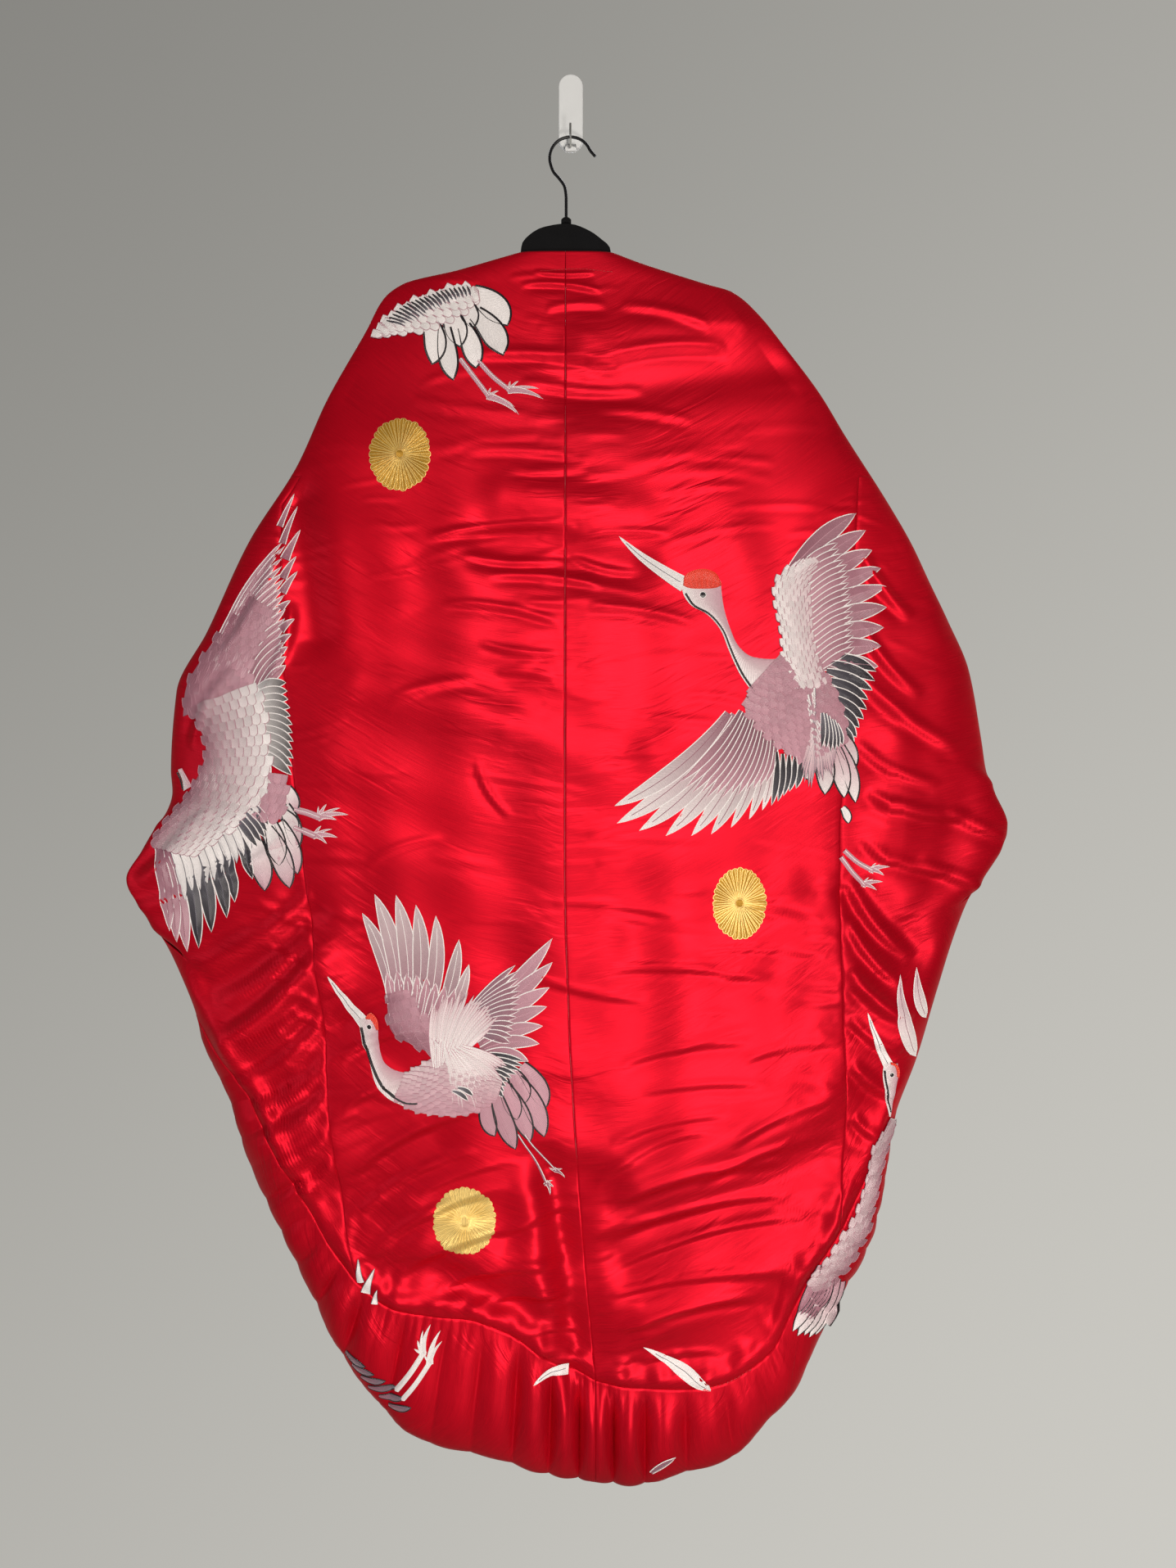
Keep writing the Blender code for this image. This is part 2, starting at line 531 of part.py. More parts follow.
def add_wire(name, points, radius, finish):
    """A round wire along points, with closed ends."""
    curve = bpy.data.curves.new(name, "CURVE")
    curve.dimensions = "3D"
    curve.bevel_depth = radius
    curve.bevel_resolution = 2
    curve.use_fill_caps = True
    line = curve.splines.new("POLY")
    line.points.add(len(points) - 1)
    line.points.foreach_set("co", [v for p in points for v in (*p, 1.0)])
    return add_object(name, curve, finish)


def arm_height(x):
    """Top edge of the hanger's arms, just under the coat's shoulder folds."""
    side = LEFT if x < 0 else RIGHT
    z = np.linspace(NECK_HEIGHT, -0.30, 400)
    mid = float(centre(NECK_HEIGHT))
    reach = np.abs(side.fold(z) - mid) * HANGER_INSET
    return float(np.interp(abs(x - mid), reach, z))


def add_hanger():
    """A slim flocked hanger: an arched neck plate whose arms slope down inside the
    shoulders, with its hook standing in a boss at the top."""
    arch = [(-0.0620, -0.1935), (-0.0600, -0.1770), (-0.0511, -0.1654), (-0.0329, -0.1553),
            (-0.0053, -0.1512), (0.0024, -0.1519), (0.0241, -0.1603), (0.0418, -0.1734),
            (0.0480, -0.1790), (0.0508, -0.1935)]
    arch = [tuple(p) for p in along(arch, 25)]
    left = [(x, arm_height(x)) for x in np.linspace(-0.196, -0.070, 9)]
    right = [(x, arm_height(x)) for x in np.linspace(0.058, 0.178, 9)]
    under = [(0.183, -0.243), (0.178, -0.252), (0.100, -0.240), (0.050, -0.226), (0.000, -0.219),
             (-0.055, -0.224), (-0.110, -0.236), (-0.196, -0.247), (-0.202, -0.237)]
    add_flat("hanger_body", left + arch + right + under, HANGER_THICK, HANGER_Y, FLOCK)

    turned = bpy.data.meshes.new("hanger_boss")
    half = BOSS_RADIUS
    profile = [(0, BOSS_TOP), (half - 0.0015, BOSS_TOP), (half, BOSS_TOP - 0.0015),
               (half, BOSS_BOTTOM), (0, BOSS_BOTTOM)]
    turned.from_pydata([(x, 0, z) for x, z in profile], [(i, i + 1) for i in range(4)], [])
    boss = add_object("hanger_boss", turned, FLOCK)
    boss.location = (STEM_X, HANGER_Y, 0)
    spin = boss.modifiers.new("turned", "SCREW")
    spin.steps = spin.render_steps = 20
    spin.use_merge_vertices = True
    spin.merge_threshold = 0.0001

    cx, cz = HOOK_CENTRE
    bow = np.radians(np.linspace(196, 22, 19))
    line = [(STEM_X, BOSS_TOP + TOUCH), (STEM_X, -0.1200), (-0.0068, -0.1060), (-0.0136, -0.0950),
            (-0.0212, -0.0860)]
    line += [(cx + HOOK_RADIUS * math.cos(a), cz + HOOK_RADIUS * math.sin(a)) for a in bow]
    line += [(0.0307, -0.0675)]
    line = along(line, 44)
    add_wire("hanger_hook", [(x, HANGER_Y, z) for x, z in line], HANGER_WIRE, WIRE)


def add_wall_hook():
    """An adhesive wall hook: a plate with round ends, a seat on its lower end and a bent
    metal pin that carries the hanger's hook."""
    radius = PLATE_WIDTH / 2
    straight = PLATE_HEIGHT / 2 - radius
    turn = np.linspace(0, math.pi, 17)
    outline = [(radius * math.cos(a), straight + radius * math.sin(a)) for a in turn]
    outline += [(-x, -z) for x, z in outline]
    plate = bpy.data.meshes.new("wall_plate")
    work = bmesh.new()
    face = work.faces.new([work.verts.new((x, 0, z)) for x, z in outline])
    moved = bmesh.ops.extrude_face_region(work, geom=[face])["geom"]
    bmesh.ops.translate(work, vec=(0, -PLATE_THICK, 0),
                        verts=[v for v in moved if isinstance(v, bmesh.types.BMVert)])
    bmesh.ops.recalc_face_normals(work, faces=work.faces)
    work.to_mesh(plate)
    work.free()
    made = add_object("wall_plate", plate, PLASTIC)
    edge = made.modifiers.new("edge", "BEVEL")
    edge.width = 0.0012
    edge.segments = 2
    edge.angle_limit = math.radians(60)

    wide, deep, tall = SEAT_SIZE
    pin_z = HOOK_CENTRE[1] + HOOK_RADIUS - HANGER_WIRE - TOUCH - PIN_WIRE
    seat = bpy.data.meshes.new("pin_seat")
    work = bmesh.new()
    bmesh.ops.create_cube(work, size=1)
    bmesh.ops.scale(work, vec=(wide, deep, tall), verts=work.verts)
    work.to_mesh(seat)
    work.free()
    made = add_object("pin_seat", seat, PLASTIC)
    made.location = (0, -PLATE_THICK - TOUCH - deep / 2, pin_z)
    edge = made.modifiers.new("edge", "BEVEL")
    edge.width = 0.001
    edge.segments = 2

    start = -PLATE_THICK - deep - 2 * TOUCH
    reach = HANGER_Y - PIN_PAST
    turn = np.linspace(0, math.pi / 2, 7)
    line = [(0, start, pin_z), (0, (start + reach) / 2, pin_z)]
    line += [(0, reach + PIN_BEND * (1 - math.sin(a)), pin_z + PIN_BEND * (1 - math.cos(a))) for a in turn]
    line += [(0, reach, (pin_z + PIN_BEND + PIN_TIP) / 2), (0, reach, PIN_TIP)]
    add_wire("wall_pin", line, PIN_WIRE, STEEL)


def main():
    for side in (LEFT, RIGHT):
        add_back_panel(side)
        add_side_panel(side)
        add_bands(side)
    inward = (CLOTH_WALL + BAND_WALL) / 2 + TOUCH
    beside = (CLOTH_WALL + TAPE_WALL) / 2 + TOUCH
    add_neck_strip("collar_band", *COLLAR_SPAN, inward, CLOTH_WALL, SATIN)
    add_neck_strip("neck_tape", *TAPE_SPAN, inward + beside, TAPE_WALL, LINING)
    add_hanger()
    add_wall_hook()


for old in list(bpy.data.objects):
    bpy.data.objects.remove(old, do_unlink=True)
coat_collection = bpy.data.collections.new("cocoon_coat")
bpy.context.scene.collection.children.link(coat_collection)
main()
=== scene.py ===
"""Looks of a cocoon coat cut from red bridal kimono satin, hung on a slim hanger and a wall hook.

Metres, +Z up, the coat's back towards -Y. Every cloth piece is a thin shell on its solid's form:
the tables below give the coat's folds, seams and edges by height, creases are added to that
surface, and the embroidery is laid out in millimetres and draped on it.
"""

import math
from functools import partial

import bpy
import numpy as np
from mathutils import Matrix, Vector


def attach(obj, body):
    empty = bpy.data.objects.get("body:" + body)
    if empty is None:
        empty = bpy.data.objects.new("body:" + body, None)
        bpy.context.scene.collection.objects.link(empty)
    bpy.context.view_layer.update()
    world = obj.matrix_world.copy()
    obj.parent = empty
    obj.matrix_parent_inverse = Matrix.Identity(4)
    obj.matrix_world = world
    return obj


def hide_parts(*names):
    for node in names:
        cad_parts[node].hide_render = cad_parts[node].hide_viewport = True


bl_info = {
    "name": "Cocoon coat of bridal satin",
    "version": (1, 0, 0),
    "blender": (4, 5, 0),
    "location": "3D View > Sidebar > Coat",
    "description": "Embroidered satin cocoon coat on a slim hanger and a wall hook",
    "category": "Object",
}

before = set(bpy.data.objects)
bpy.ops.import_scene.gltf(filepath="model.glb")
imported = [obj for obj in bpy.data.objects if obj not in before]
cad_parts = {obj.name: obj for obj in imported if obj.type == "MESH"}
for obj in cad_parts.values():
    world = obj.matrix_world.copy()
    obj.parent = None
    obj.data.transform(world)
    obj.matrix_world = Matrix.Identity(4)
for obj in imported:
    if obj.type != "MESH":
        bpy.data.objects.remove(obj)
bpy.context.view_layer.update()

MM = 0.001

# ---- Sizes of the coat, as its solids have them ----
SEAM_GAP = 0.0001  # from the edge of a panel to the next one
BAND_GAP = 0.0002  # from the body's edge to the band
NECK_HEIGHT = -0.189
BAND_WIDTH, BAND_NECK_WIDTH = 0.165, 0.050
SEAM_TOP = -0.465  # height where the side seams turn round the fold to the front
FOLD_INSET = 0.014  # how far short of the fold a side seam stays
BAND_ROUND = 0.080  # distance from its fold over which the band rounds
BAND_SETTLE = 0.050  # distance from its seam over which it comes to its own form
NARROW_FROM, NARROW_RUN = -0.62, 0.42  # height where the band starts to narrow, and the rise it takes
GATHER_PITCH = 0.044
GATHER_END = 10  # stations of the solid's band over which the gathers fade near the side fold
FRONT_REACH = -0.80  # lowest height at which the tables alone give the front edge
CLOTH_WALL, BAND_WALL, TAPE_WALL = 0.002, 0.003, 0.001
TOUCH = 0.0003  # between two layers that lie together
# Strips inside the neck: left, right, how far one stands above the neck, height of its lower edge
COLLAR_SPAN = (-0.047, 0.036, 0.0005, -0.232)
TAPE_SPAN = (-0.0245, 0.0035, 0.0020, -0.206)

# Columns and rows of the solids, and how many times finer each is here
SHOULDER_ROWS, BODY_ROWS = 13 * 6, 19 * 18
BACK_COLUMNS, TURN_COLUMNS, UPPER_FRONT_COLUMNS = 84, 12, 24
SIDE_COLUMNS, SIDE_OPEN = 44, 8  # of a side panel from its seam to the fold, and open at the cuff
FRONT_COLUMNS, FRONT_OPEN = 28, 8
SOLID_SIDE_COLUMNS, SOLID_FRONT_COLUMNS = 6, 7
BAND_STEPS = (2, 4, 3)
BAND_FINER = 4  # stations of the band here for each one of the solid, about
BAND_ROWS = 24
BAND_POINTS = 700  # on the band's cross-section, before it is divided into rows
STRIP_COLUMNS, STRIP_ROWS = 61, 24
CLOTH_SHELL, BAND_SHELL = 0.0014, 0.0020  # thickness of the shells
LINING_SIDE = 1  # material slot of the side away from the viewer
MATERIALS = {}  # the coat's own, by short name
GATHER_DEPTH = 0.0105
GATHER_LOSS, LOSS_LEAD = 0.85, 0.8  # share of the gathers lost on the front, and of that before the fold
FOLD_WAVE, CENTRE_REACH = 0.17, 0.020  # share of a wave that goes sideways, and where that starts
FOLD_CALM, CALM_REACH = 0.55, 0.032  # how much calmer the waves are at the band's fold, and how near it
# Finer pleats of the band: pitch, depth, distance over which they start, and where they end,
# and a number that sets their drift
PLEATS = (
    (0.021, 0.0015, 0.012, 0.060, 0.7), (0.034, 0.0030, 0.020, 0.130, 2.1),
    (0.012, 0.0013, 0.006, 0.024, 4.4),
)
HEM_ROLL, ROLL_AWAY, ROLL_HALF = 0.0055, 0.013, 0.011  # roll above the band: height, place, half width
HEM_DIP, HEM_DIP_HALF = 0.0015, 0.004  # dip at the band's seam
SEAM_DIP, SEAM_DIP_HALF = 0.0007, 0.0028
CENTRE_DIP = 0.12  # share of that dip at the centre seam, which lies flatter
FLUTE_DEPTH, FLUTE_PITCHES = 0.0009, (0.145, 0.083)
SAG_DEPTH, SAG_PITCH = 0.0015, 0.017
CREASE_WIDTH, CREASE_DEPTH = 0.68, 1.6  # what the tables' half widths and depths are multiplied by
LENS, SENSOR = 27.04, 36  # mm
CAMERA_X = 0.0216

# Fold of the coat at each side: height, x
LEFT_FOLD = (
    (-0.189, -0.068), (-0.195, -0.090), (-0.209, -0.140), (-0.225, -0.205), (-0.243, -0.229),
    (-0.284, -0.251), (-0.370, -0.299), (-0.451, -0.335), (-0.545, -0.393), (-0.655, -0.443),
    (-0.729, -0.480), (-0.824, -0.486), (-0.850, -0.484), (-0.888, -0.496), (-0.920, -0.514),
    (-0.955, -0.533), (-1.006, -0.506), (-1.068, -0.475), (-1.125, -0.453), (-1.250, -0.430),
    (-1.450, -0.410), (-1.620, -0.400),
)
RIGHT_FOLD = (
    (-0.189, 0.056), (-0.200, 0.086), (-0.213, 0.126), (-0.226, 0.168), (-0.235, 0.198),
    (-0.260, 0.228), (-0.306, 0.265), (-0.363, 0.307), (-0.412, 0.336), (-0.494, 0.387),
    (-0.547, 0.417), (-0.595, 0.439), (-0.640, 0.460), (-0.703, 0.486), (-0.784, 0.500),
    (-0.845, 0.509), (-0.890, 0.526), (-0.913, 0.521), (-0.962, 0.492), (-1.023, 0.467),
    (-1.089, 0.446), (-1.172, 0.421), (-1.250, 0.393), (-1.350, 0.378), (-1.500, 0.370),
    (-1.620, 0.365),
)
# Centre-back seam and side seams: height, x
CENTRE_SEAM = (
    (-0.189, -0.006), (-0.940, -0.006), (-1.125, -0.001), (-1.300, 0.009), (-1.430, 0.019),
    (-1.560, 0.031),
)
LEFT_SEAM = (
    (-0.465, -0.353), (-0.611, -0.348), (-0.752, -0.337), (-0.946, -0.316), (-1.100, -0.296),
    (-1.255, -0.283), (-1.367, -0.268), (-1.437, -0.252), (-1.500, -0.235),
)
RIGHT_SEAM = (
    (-0.465, 0.352), (-0.511, 0.347), (-0.615, 0.338), (-0.785, 0.330), (-0.909, 0.321),
    (-1.070, 0.323), (-1.224, 0.329), (-1.377, 0.322), (-1.500, 0.315),
)
# Depth of the sections: height, y of the fold, depth of the back layer, of the front layer,
# and how square the section is (2 is an ellipse)
DEPTHS = (
    (-0.189, -0.0300, 0.0104, 0.0094, 4.2), (-0.205, -0.0300, 0.0111, 0.0097, 3.0),
    (-0.225, -0.0300, 0.0118, 0.0098, 2.7),
    (-0.250, -0.0308, 0.0130, 0.0100, 3.2), (-0.400, -0.0340, 0.0200, 0.0150, 4.5),
    (-0.600, -0.0400, 0.0300, 0.0210, 6.5), (-0.900, -0.0460, 0.0380, 0.0270, 7.0),
    (-1.200, -0.0480, 0.0360, 0.0290, 7.0), (-1.500, -0.0460, 0.0300, 0.0280, 7.0),
    (-1.750, -0.0450, 0.0300, 0.0280, 7.0),
)
# Hem edge of the body, from the centre-back seam to the side fold, where its last row lies:
# x, height, direction in towards the body in degrees, width of band that shows below it
LEFT_HEM = (
    (0.031, -1.556, 90, 0.133), (-0.027, -1.529, 87, 0.150), (-0.070, -1.500, 84, 0.163),
    (-0.120, -1.481, 81, 0.170), (-0.167, -1.476, 79, 0.156), (-0.210, -1.468, 77, 0.122),
    (-0.252, -1.437, 70, 0.092), (-0.278, -1.405, 57, 0.066), (-0.304, -1.365, 43, 0.053),
    (-0.345, -1.290, 36, 0.046), (-0.389, -1.213, 20, 0.028), (-0.433, -1.149, 8, 0.014),
    (-0.453, -1.120, 3, 0.000),
)
RIGHT_HEM = (
    (0.031, -1.556, 90, 0.133), (0.080, -1.563, 91, 0.130), (0.129, -1.564, 93, 0.115),
    (0.178, -1.558, 99, 0.104), (0.216, -1.539, 108, 0.079), (0.244, -1.514, 115, 0.070),
    (0.262, -1.475, 130, 0.058), (0.290, -1.423, 133, 0.056), (0.322, -1.377, 146, 0.048),
    (0.350, -1.325, 155, 0.033), (0.366, -1.290, 165, 0.022), (0.381, -1.262, 172, 0.011),
    (0.393, -1.238, 177, 0.000),
)
# Front edge of the body, from the side fold to the neck: x, height, direction inwards
LEFT_FRONT = (
    (-0.439, -1.070, 0), (-0.405, -0.980, -6), (-0.339, -0.870, -10), (-0.308, -0.800, -12),
    (-0.240, -0.630, -14), (-0.195, -0.500, -16), (-0.150, -0.380, -18), (-0.112, -0.290, -20),
    (-0.080, -0.230, -20), (-0.058, -0.191, -20),
)
RIGHT_FRONT = (
    (0.383, -1.180, 181), (0.366, -1.060, 185), (0.352, -0.930, 189), (0.318, -0.800, 192),
    (0.240, -0.630, 194), (0.195, -0.500, 196), (0.150, -0.380, 198), (0.107, -0.290, 200),
    (0.072, -0.230, 200), (0.046, -0.191, 200),
)
# Open cuffs: highest and lowest point of each
LEFT_CUFF = (-0.893, -1.012)
RIGHT_CUFF = (-0.842, -0.962)
CUFF_BLEND = 0.035  # how far past its ends a cuff still squares the fold
CUFF_MARGIN = 0.008  # how far past its ends its faces are left out
CUFF_COLUMNS = 2  # columns each side of the fold that a cuff leaves open
CUFF_PULL = (1.0, 0.55, 0.20, 0.05)  # how far the columns beside a cuff are drawn out to it
# Largest folds of the back: start x, start height, end x, end height, half width, depth.
# A ridge has a positive depth, a valley a negative one.
LARGE_FOLDS = (
    (0.012, -1.32, 0.040, -1.53, 0.034, -0.012), (-0.040, -1.34, -0.008, -1.49, 0.030, 0.009),
    (-0.150, -1.42, -0.010, -1.49, 0.026, -0.009), (-0.170, -1.38, -0.020, -1.44, 0.026, 0.007),
    (0.000, -0.37, 0.260, -0.33, 0.028, -0.006), (0.020, -0.30, 0.200, -0.27, 0.026, 0.004),
    (-0.100, -0.55, 0.070, -0.58, 0.028, -0.008), (-0.080, -0.49, 0.080, -0.51, 0.026, 0.005),
    (-0.330, -0.50, -0.305, -0.66, 0.026, -0.010), (-0.250, -0.72, -0.080, -0.77, 0.030, 0.006),
    (-0.430, -1.08, -0.310, -1.00, 0.024, -0.009), (-0.410, -1.15, -0.295, -1.06, 0.024, 0.009),
    (-0.390, -1.22, -0.275, -1.13, 0.024, -0.009), (-0.350, -1.29, -0.230, -1.20, 0.026, 0.009),
    (-0.310, -1.36, -0.160, -1.27, 0.028, -0.008), (-0.210, -1.12, -0.060, -1.17, 0.030, 0.006),
    (0.060, -1.40, 0.310, -1.29, 0.030, -0.010), (0.090, -1.48, 0.270, -1.40, 0.028, 0.009),
    (0.080, -1.31, 0.300, -1.21, 0.030, 0.007), (0.345, -0.97, 0.410, -1.04, 0.024, -0.010),
    (0.335, -1.08, 0.400, -1.14, 0.024, 0.008), (0.100, -0.80, 0.300, -0.74, 0.032, 0.006),
    (0.080, -1.02, 0.260, -0.97, 0.030, -0.006),
)


# ---- Curves through tables ----
def smooth(rows, at):
    """Reads a smooth curve through (position, value) rows: cubic pieces whose slope at a
    row is the harmonic mean of the slopes beside it, so that it never overshoots."""
    rows = np.array(sorted(rows), float)
    x, v = rows[:, 0], rows[:, 1]
    h = np.diff(x)
    d = np.diff(v) / h
    m = np.concatenate([[d[0]], np.zeros(len(d) - 1), [d[-1]]])
    same = d[:-1] * d[1:] > 0
    m[1:-1][same] = 2 * d[:-1][same] * d[1:][same] / (d[:-1] + d[1:])[same]
    at = np.clip(np.asarray(at, float), x[0], x[-1])
    i = np.clip(np.searchsorted(x, at, side="right") - 1, 0, len(h) - 1)
    s = (at - x[i]) / h[i]
    low = (1 + 2 * s) * (1 - s) ** 2 * v[i] + s * (1 - s) ** 2 * h[i] * m[i]
    return low + s * s * (3 - 2 * s) * v[i + 1] + s * s * (s - 1) * h[i] * m[i + 1]


def column(rows, n):
    """The (first column, nth column) pairs of a table."""
    return [(row[0], row[n]) for row in rows]


def lengths(points):
    """Distance of each point from the first, along the line through them."""
    return np.concatenate([[0], np.cumsum(np.linalg.norm(np.diff(points, axis=0), axis=1))])


def unit(v):
    """Vectors brought to length 1."""
    return v / np.maximum(np.linalg.norm(v, axis=-1, keepdims=True), 1e-9)


def along(points, count):
    """Places count points at even lengths on a curve through the given rows."""
    points = np.array(points, float)
    length = lengths(points[:, :2])
    at = np.linspace(0, length[-1], count)
    return np.stack([smooth(list(zip(length, points[:, k])), at) for k in range(points.shape[1])], 1)


def step(x):
    """Rises smoothly from 0 to 1."""
    x = np.clip(x, 0, 1)
    return x * x * (3 - 2 * x)


class Side:
    """One side of the coat, with its tables."""

    def __init__(self, name, fold, seam, hem, front, cuff):
        self.name, self.fold_rows, self.seam_rows, self.cuff = name, fold, seam, cuff
        self.way = 1 if fold[0][1] > 0 else -1
        _, height, inward, shown = hem[-1]
        turn = (float(self.fold(height)), height, inward, shown)
        self.hem = along([*hem[:-1], turn], 400)
        self.front = along([turn] + [(*row, 0) for row in front], 400)
        self.front_rows = [(row[1], row[0]) for row in front]

    def fold(self, z):
        return smooth(self.fold_rows, z)

    def seam(self, z):
        """Side seam, which above its top keeps just short of the fold."""
        z = np.asarray(z, float)
        short = self.fold(z) - self.way * FOLD_INSET
        seam = smooth(self.seam_rows, z)
        inner = np.where(np.abs(seam) < np.abs(short), seam, short)
        return np.where(z > SEAM_TOP, short, inner)

    def front_edge(self, z):
        """Edge of the front layer. Below FRONT_REACH it keeps its distance from the fold."""
        z = np.asarray(z, float)
        kept = smooth(self.front_rows, FRONT_REACH) - self.fold(FRONT_REACH)
        return np.where(z > FRONT_REACH, smooth(self.front_rows, z), self.fold(z) + kept)


LEFT = Side("left", LEFT_FOLD, LEFT_SEAM, LEFT_HEM, LEFT_FRONT, LEFT_CUFF)
RIGHT = Side("right", RIGHT_FOLD, RIGHT_SEAM, RIGHT_HEM, RIGHT_FRONT, RIGHT_CUFF)


def centre(z):
    return smooth(CENTRE_SEAM, z)


def depth(z):
    """y of the fold, depths of the back and front layers, and squareness at a height."""
    return [smooth(column(DEPTHS, n), z) for n in (1, 2, 3, 4)]


def large_folds(x, z):
    """How far the back stands out at (x, z): each fold is a soft ridge or valley along a
    line, a bell across it and rounded at its ends."""
    out = np.zeros(np.broadcast(x, z).shape)
    for x0, z0, x1, z1, half, deep in LARGE_FOLDS:
        run = math.hypot(x1 - x0, z1 - z0)
        ex, ez = (x1 - x0) / run, (z1 - z0) / run
        s = (x - x0) * ex + (z - z0) * ez
        across = (x - x0) * ez - (z - z0) * ex
        past = np.maximum(0, np.abs(s - run / 2) - run / 2)
        out += deep * np.exp(-((across / half) ** 2) - (past / half) ** 2)
    return out


def body_point(side, x, z, front):
    """A point of the body's section at height z: x across, and y from a flattened ellipse,
    y = fold -+ depth * sqrt(1 - t ** square), with t the share of the half width."""
    middle, back_deep, front_deep, square = depth(z)
    t = np.clip((x - centre(z)) / (side.fold(z) - centre(z)), 0, 1)
    rise = np.sqrt(np.clip(1 - t**square, 0, 1))
    back = middle - back_deep * rise - large_folds(x, z) * np.clip(rise * 1.6, 0, 1) ** 2
    y = np.where(front, middle + front_deep * rise, back)
    return np.stack(np.broadcast_arrays(x, y, z), -1)


# Creases of the back: start x, start height, end x, end height (mm), bow, half
# width, depth (mm). A crease is a rounded ridge with a softer trough below it.
BACK_CREASES = (
    # across the shoulders, from the centre seam
    (-120, -318, 62, -330, 6, 9, 2.2), (-60, -352, 90, -362, -5, 8, 1.8), (18, -330, 190, -308, 9, 11, 2.4),
    (30, -385, 150, -402, 4, 7, 1.2), (-190, -372, -40, -392, -6, 8, 1.1), (-30, -262, 45, -258, 4, 6, 1.6),
    (-60, -231, 40, -240, 5, 5, 1.5), (-45, -214, 30, -216, -3, 4, 1.2), (60, -258, 170, -282, 6, 8, 1.6),
    (-128, -438, 10, -446, 5, 7, 1.4), (-76, -461, 22, -458, -4, 6, 1.5),
    # blade height, left and right of the centre seam
    (-170, -545, 8, -532, 8, 8, 2.6), (-128, -566, -8, -572, -5, 7, 2.2), (-98, -590, 40, -604, 6, 8, 2.0),
    (-150, -625, -12, -648, 7, 7, 1.6), (-108, -672, -16, -686, -4, 6, 1.5),
    (-88, -708, -18, -716, 4, 6, 1.2), (-5, -548, 120, -540, 5, 7, 1.6), (0, -566, 86, -586, -6, 6, 1.5),
    (22, -628, 150, -650, 6, 8, 1.2),
    # middle of the back
    (-215, -742, -110, -716, 6, 9, 1.0), (-110, -812, -70, -880, -8, 6, 1.3),
    (20, -900, 190, -880, 8, 9, 1.1), (-20, -985, 130, -1000, 7, 8, 1.2),
    (-240, -935, -150, -905, 6, 8, 1.2), (45, -1060, 240, -1075, 8, 8, 1.6),
    (-60, -1062, 92, -1098, -6, 8, 1.3), (190, -985, 300, -1003, 6, 7, 1.5),
    (150, -1040, 305, -1046, 6, 6, 1.3),
    # lower left, slanting up to the right
    (-282, -1118, -150, -1072, 9, 8, 1.8), (-272, -1168, -170, -1130, 8, 7, 1.8),
    (-268, -1225, -182, -1190, 7, 7, 1.6), (-255, -1300, -96, -1226, 12, 9, 2.4),
    (-250, -1352, -110, -1276, 11, 8, 2.2), (-235, -1395, -70, -1318, 12, 9, 2.6),
    (-205, -1425, -45, -1365, 12, 9, 2.6), (-160, -1446, -5, -1412, 11, 9, 3.0),
    (-125, -1470, 0, -1450, 8, 8, 2.8), (-180, -1330, -60, -1290, 8, 7, 1.6),
    (-90, -1385, 10, -1345, 7, 8, 1.8), (-70, -1500, 12, -1498, 6, 7, 2.2),
    # lower right, fanning from the valley by the centre seam
    (48, -1268, 190, -1232, 8, 9, 1.6), (30, -1318, 165, -1248, 12, 9, 1.8),
    (45, -1345, 260, -1292, 14, 9, 2.2), (38, -1385, 285, -1330, 12, 9, 2.6),
    (52, -1420, 300, -1352, 13, 8, 2.6), (48, -1452, 262, -1420, 10, 9, 2.4),
    (60, -1492, 225, -1452, 10, 8, 2.6), (84, -1532, 180, -1520, 6, 6, 1.2),
    (150, -1318, 312, -1262, 10, 7, 2.0), (190, -1270, 318, -1212, 8, 7, 1.8),
    (205, -1170, 322, -1150, 7, 7, 1.4), (60, -1175, 215, -1148, 9, 8, 1.5),
    (85, -1208, 240, -1200, 7, 7, 1.2),
    # outer panel, left
    (-336, -622, -372, -742, 10, 11, 3.4), (-352, -560, -420, -690, 8, 10, 2.8),
    (-400, -700, -455, -800, -8, 10, 2.6), (-306, -968, -452, -1060, 12, 13, 5.0),
    (-304, -1010, -425, -1100, 11, 9, 3.4), (-301, -1042, -418, -1146, 11, 13, 5.4),
    (-298, -1090, -400, -1160, 10, 8, 3.0), (-293, -1122, -402, -1204, 9, 12, 5.2),
    (-290, -1172, -382, -1230, 9, 8, 3.2), (-286, -1206, -376, -1268, 8, 11, 4.6),
    (-284, -1252, -348, -1296, 7, 8, 3.0), (-280, -1288, -334, -1332, 6, 10, 4.0),
    (-340, -905, -428, -958, 8, 12, 3.6), (-420, -870, -490, -960, 9, 12, 3.6),
    (-430, -965, -505, -990, 6, 9, 2.6),
    # outer panel, right
    (352, -562, 412, -640, -8, 10, 3.2), (345, -640, 420, -735, -9, 9, 2.6),
    (340, -705, 470, -800, -10, 11, 3.0), (338, -790, 425, -842, -7, 9, 2.4),
    (330, -950, 412, -1050, -10, 12, 5.4), (332, -1004, 398, -1082, -8, 9, 3.6),
    (330, -1060, 408, -1124, -8, 12, 5.0), (332, -1118, 396, -1162, -6, 8, 3.2),
    (334, -1172, 394, -1216, -6, 11, 4.4), (430, -870, 505, -905, -6, 10, 3.2),
    (400, -930, 492, -968, -5, 11, 3.8), (338, -1236, 374, -1264, -5, 8, 3.0),
    (352, -850, 450, -880, -8, 11, 3.4), (345, -905, 432, -948, -8, 9, 2.8),
)
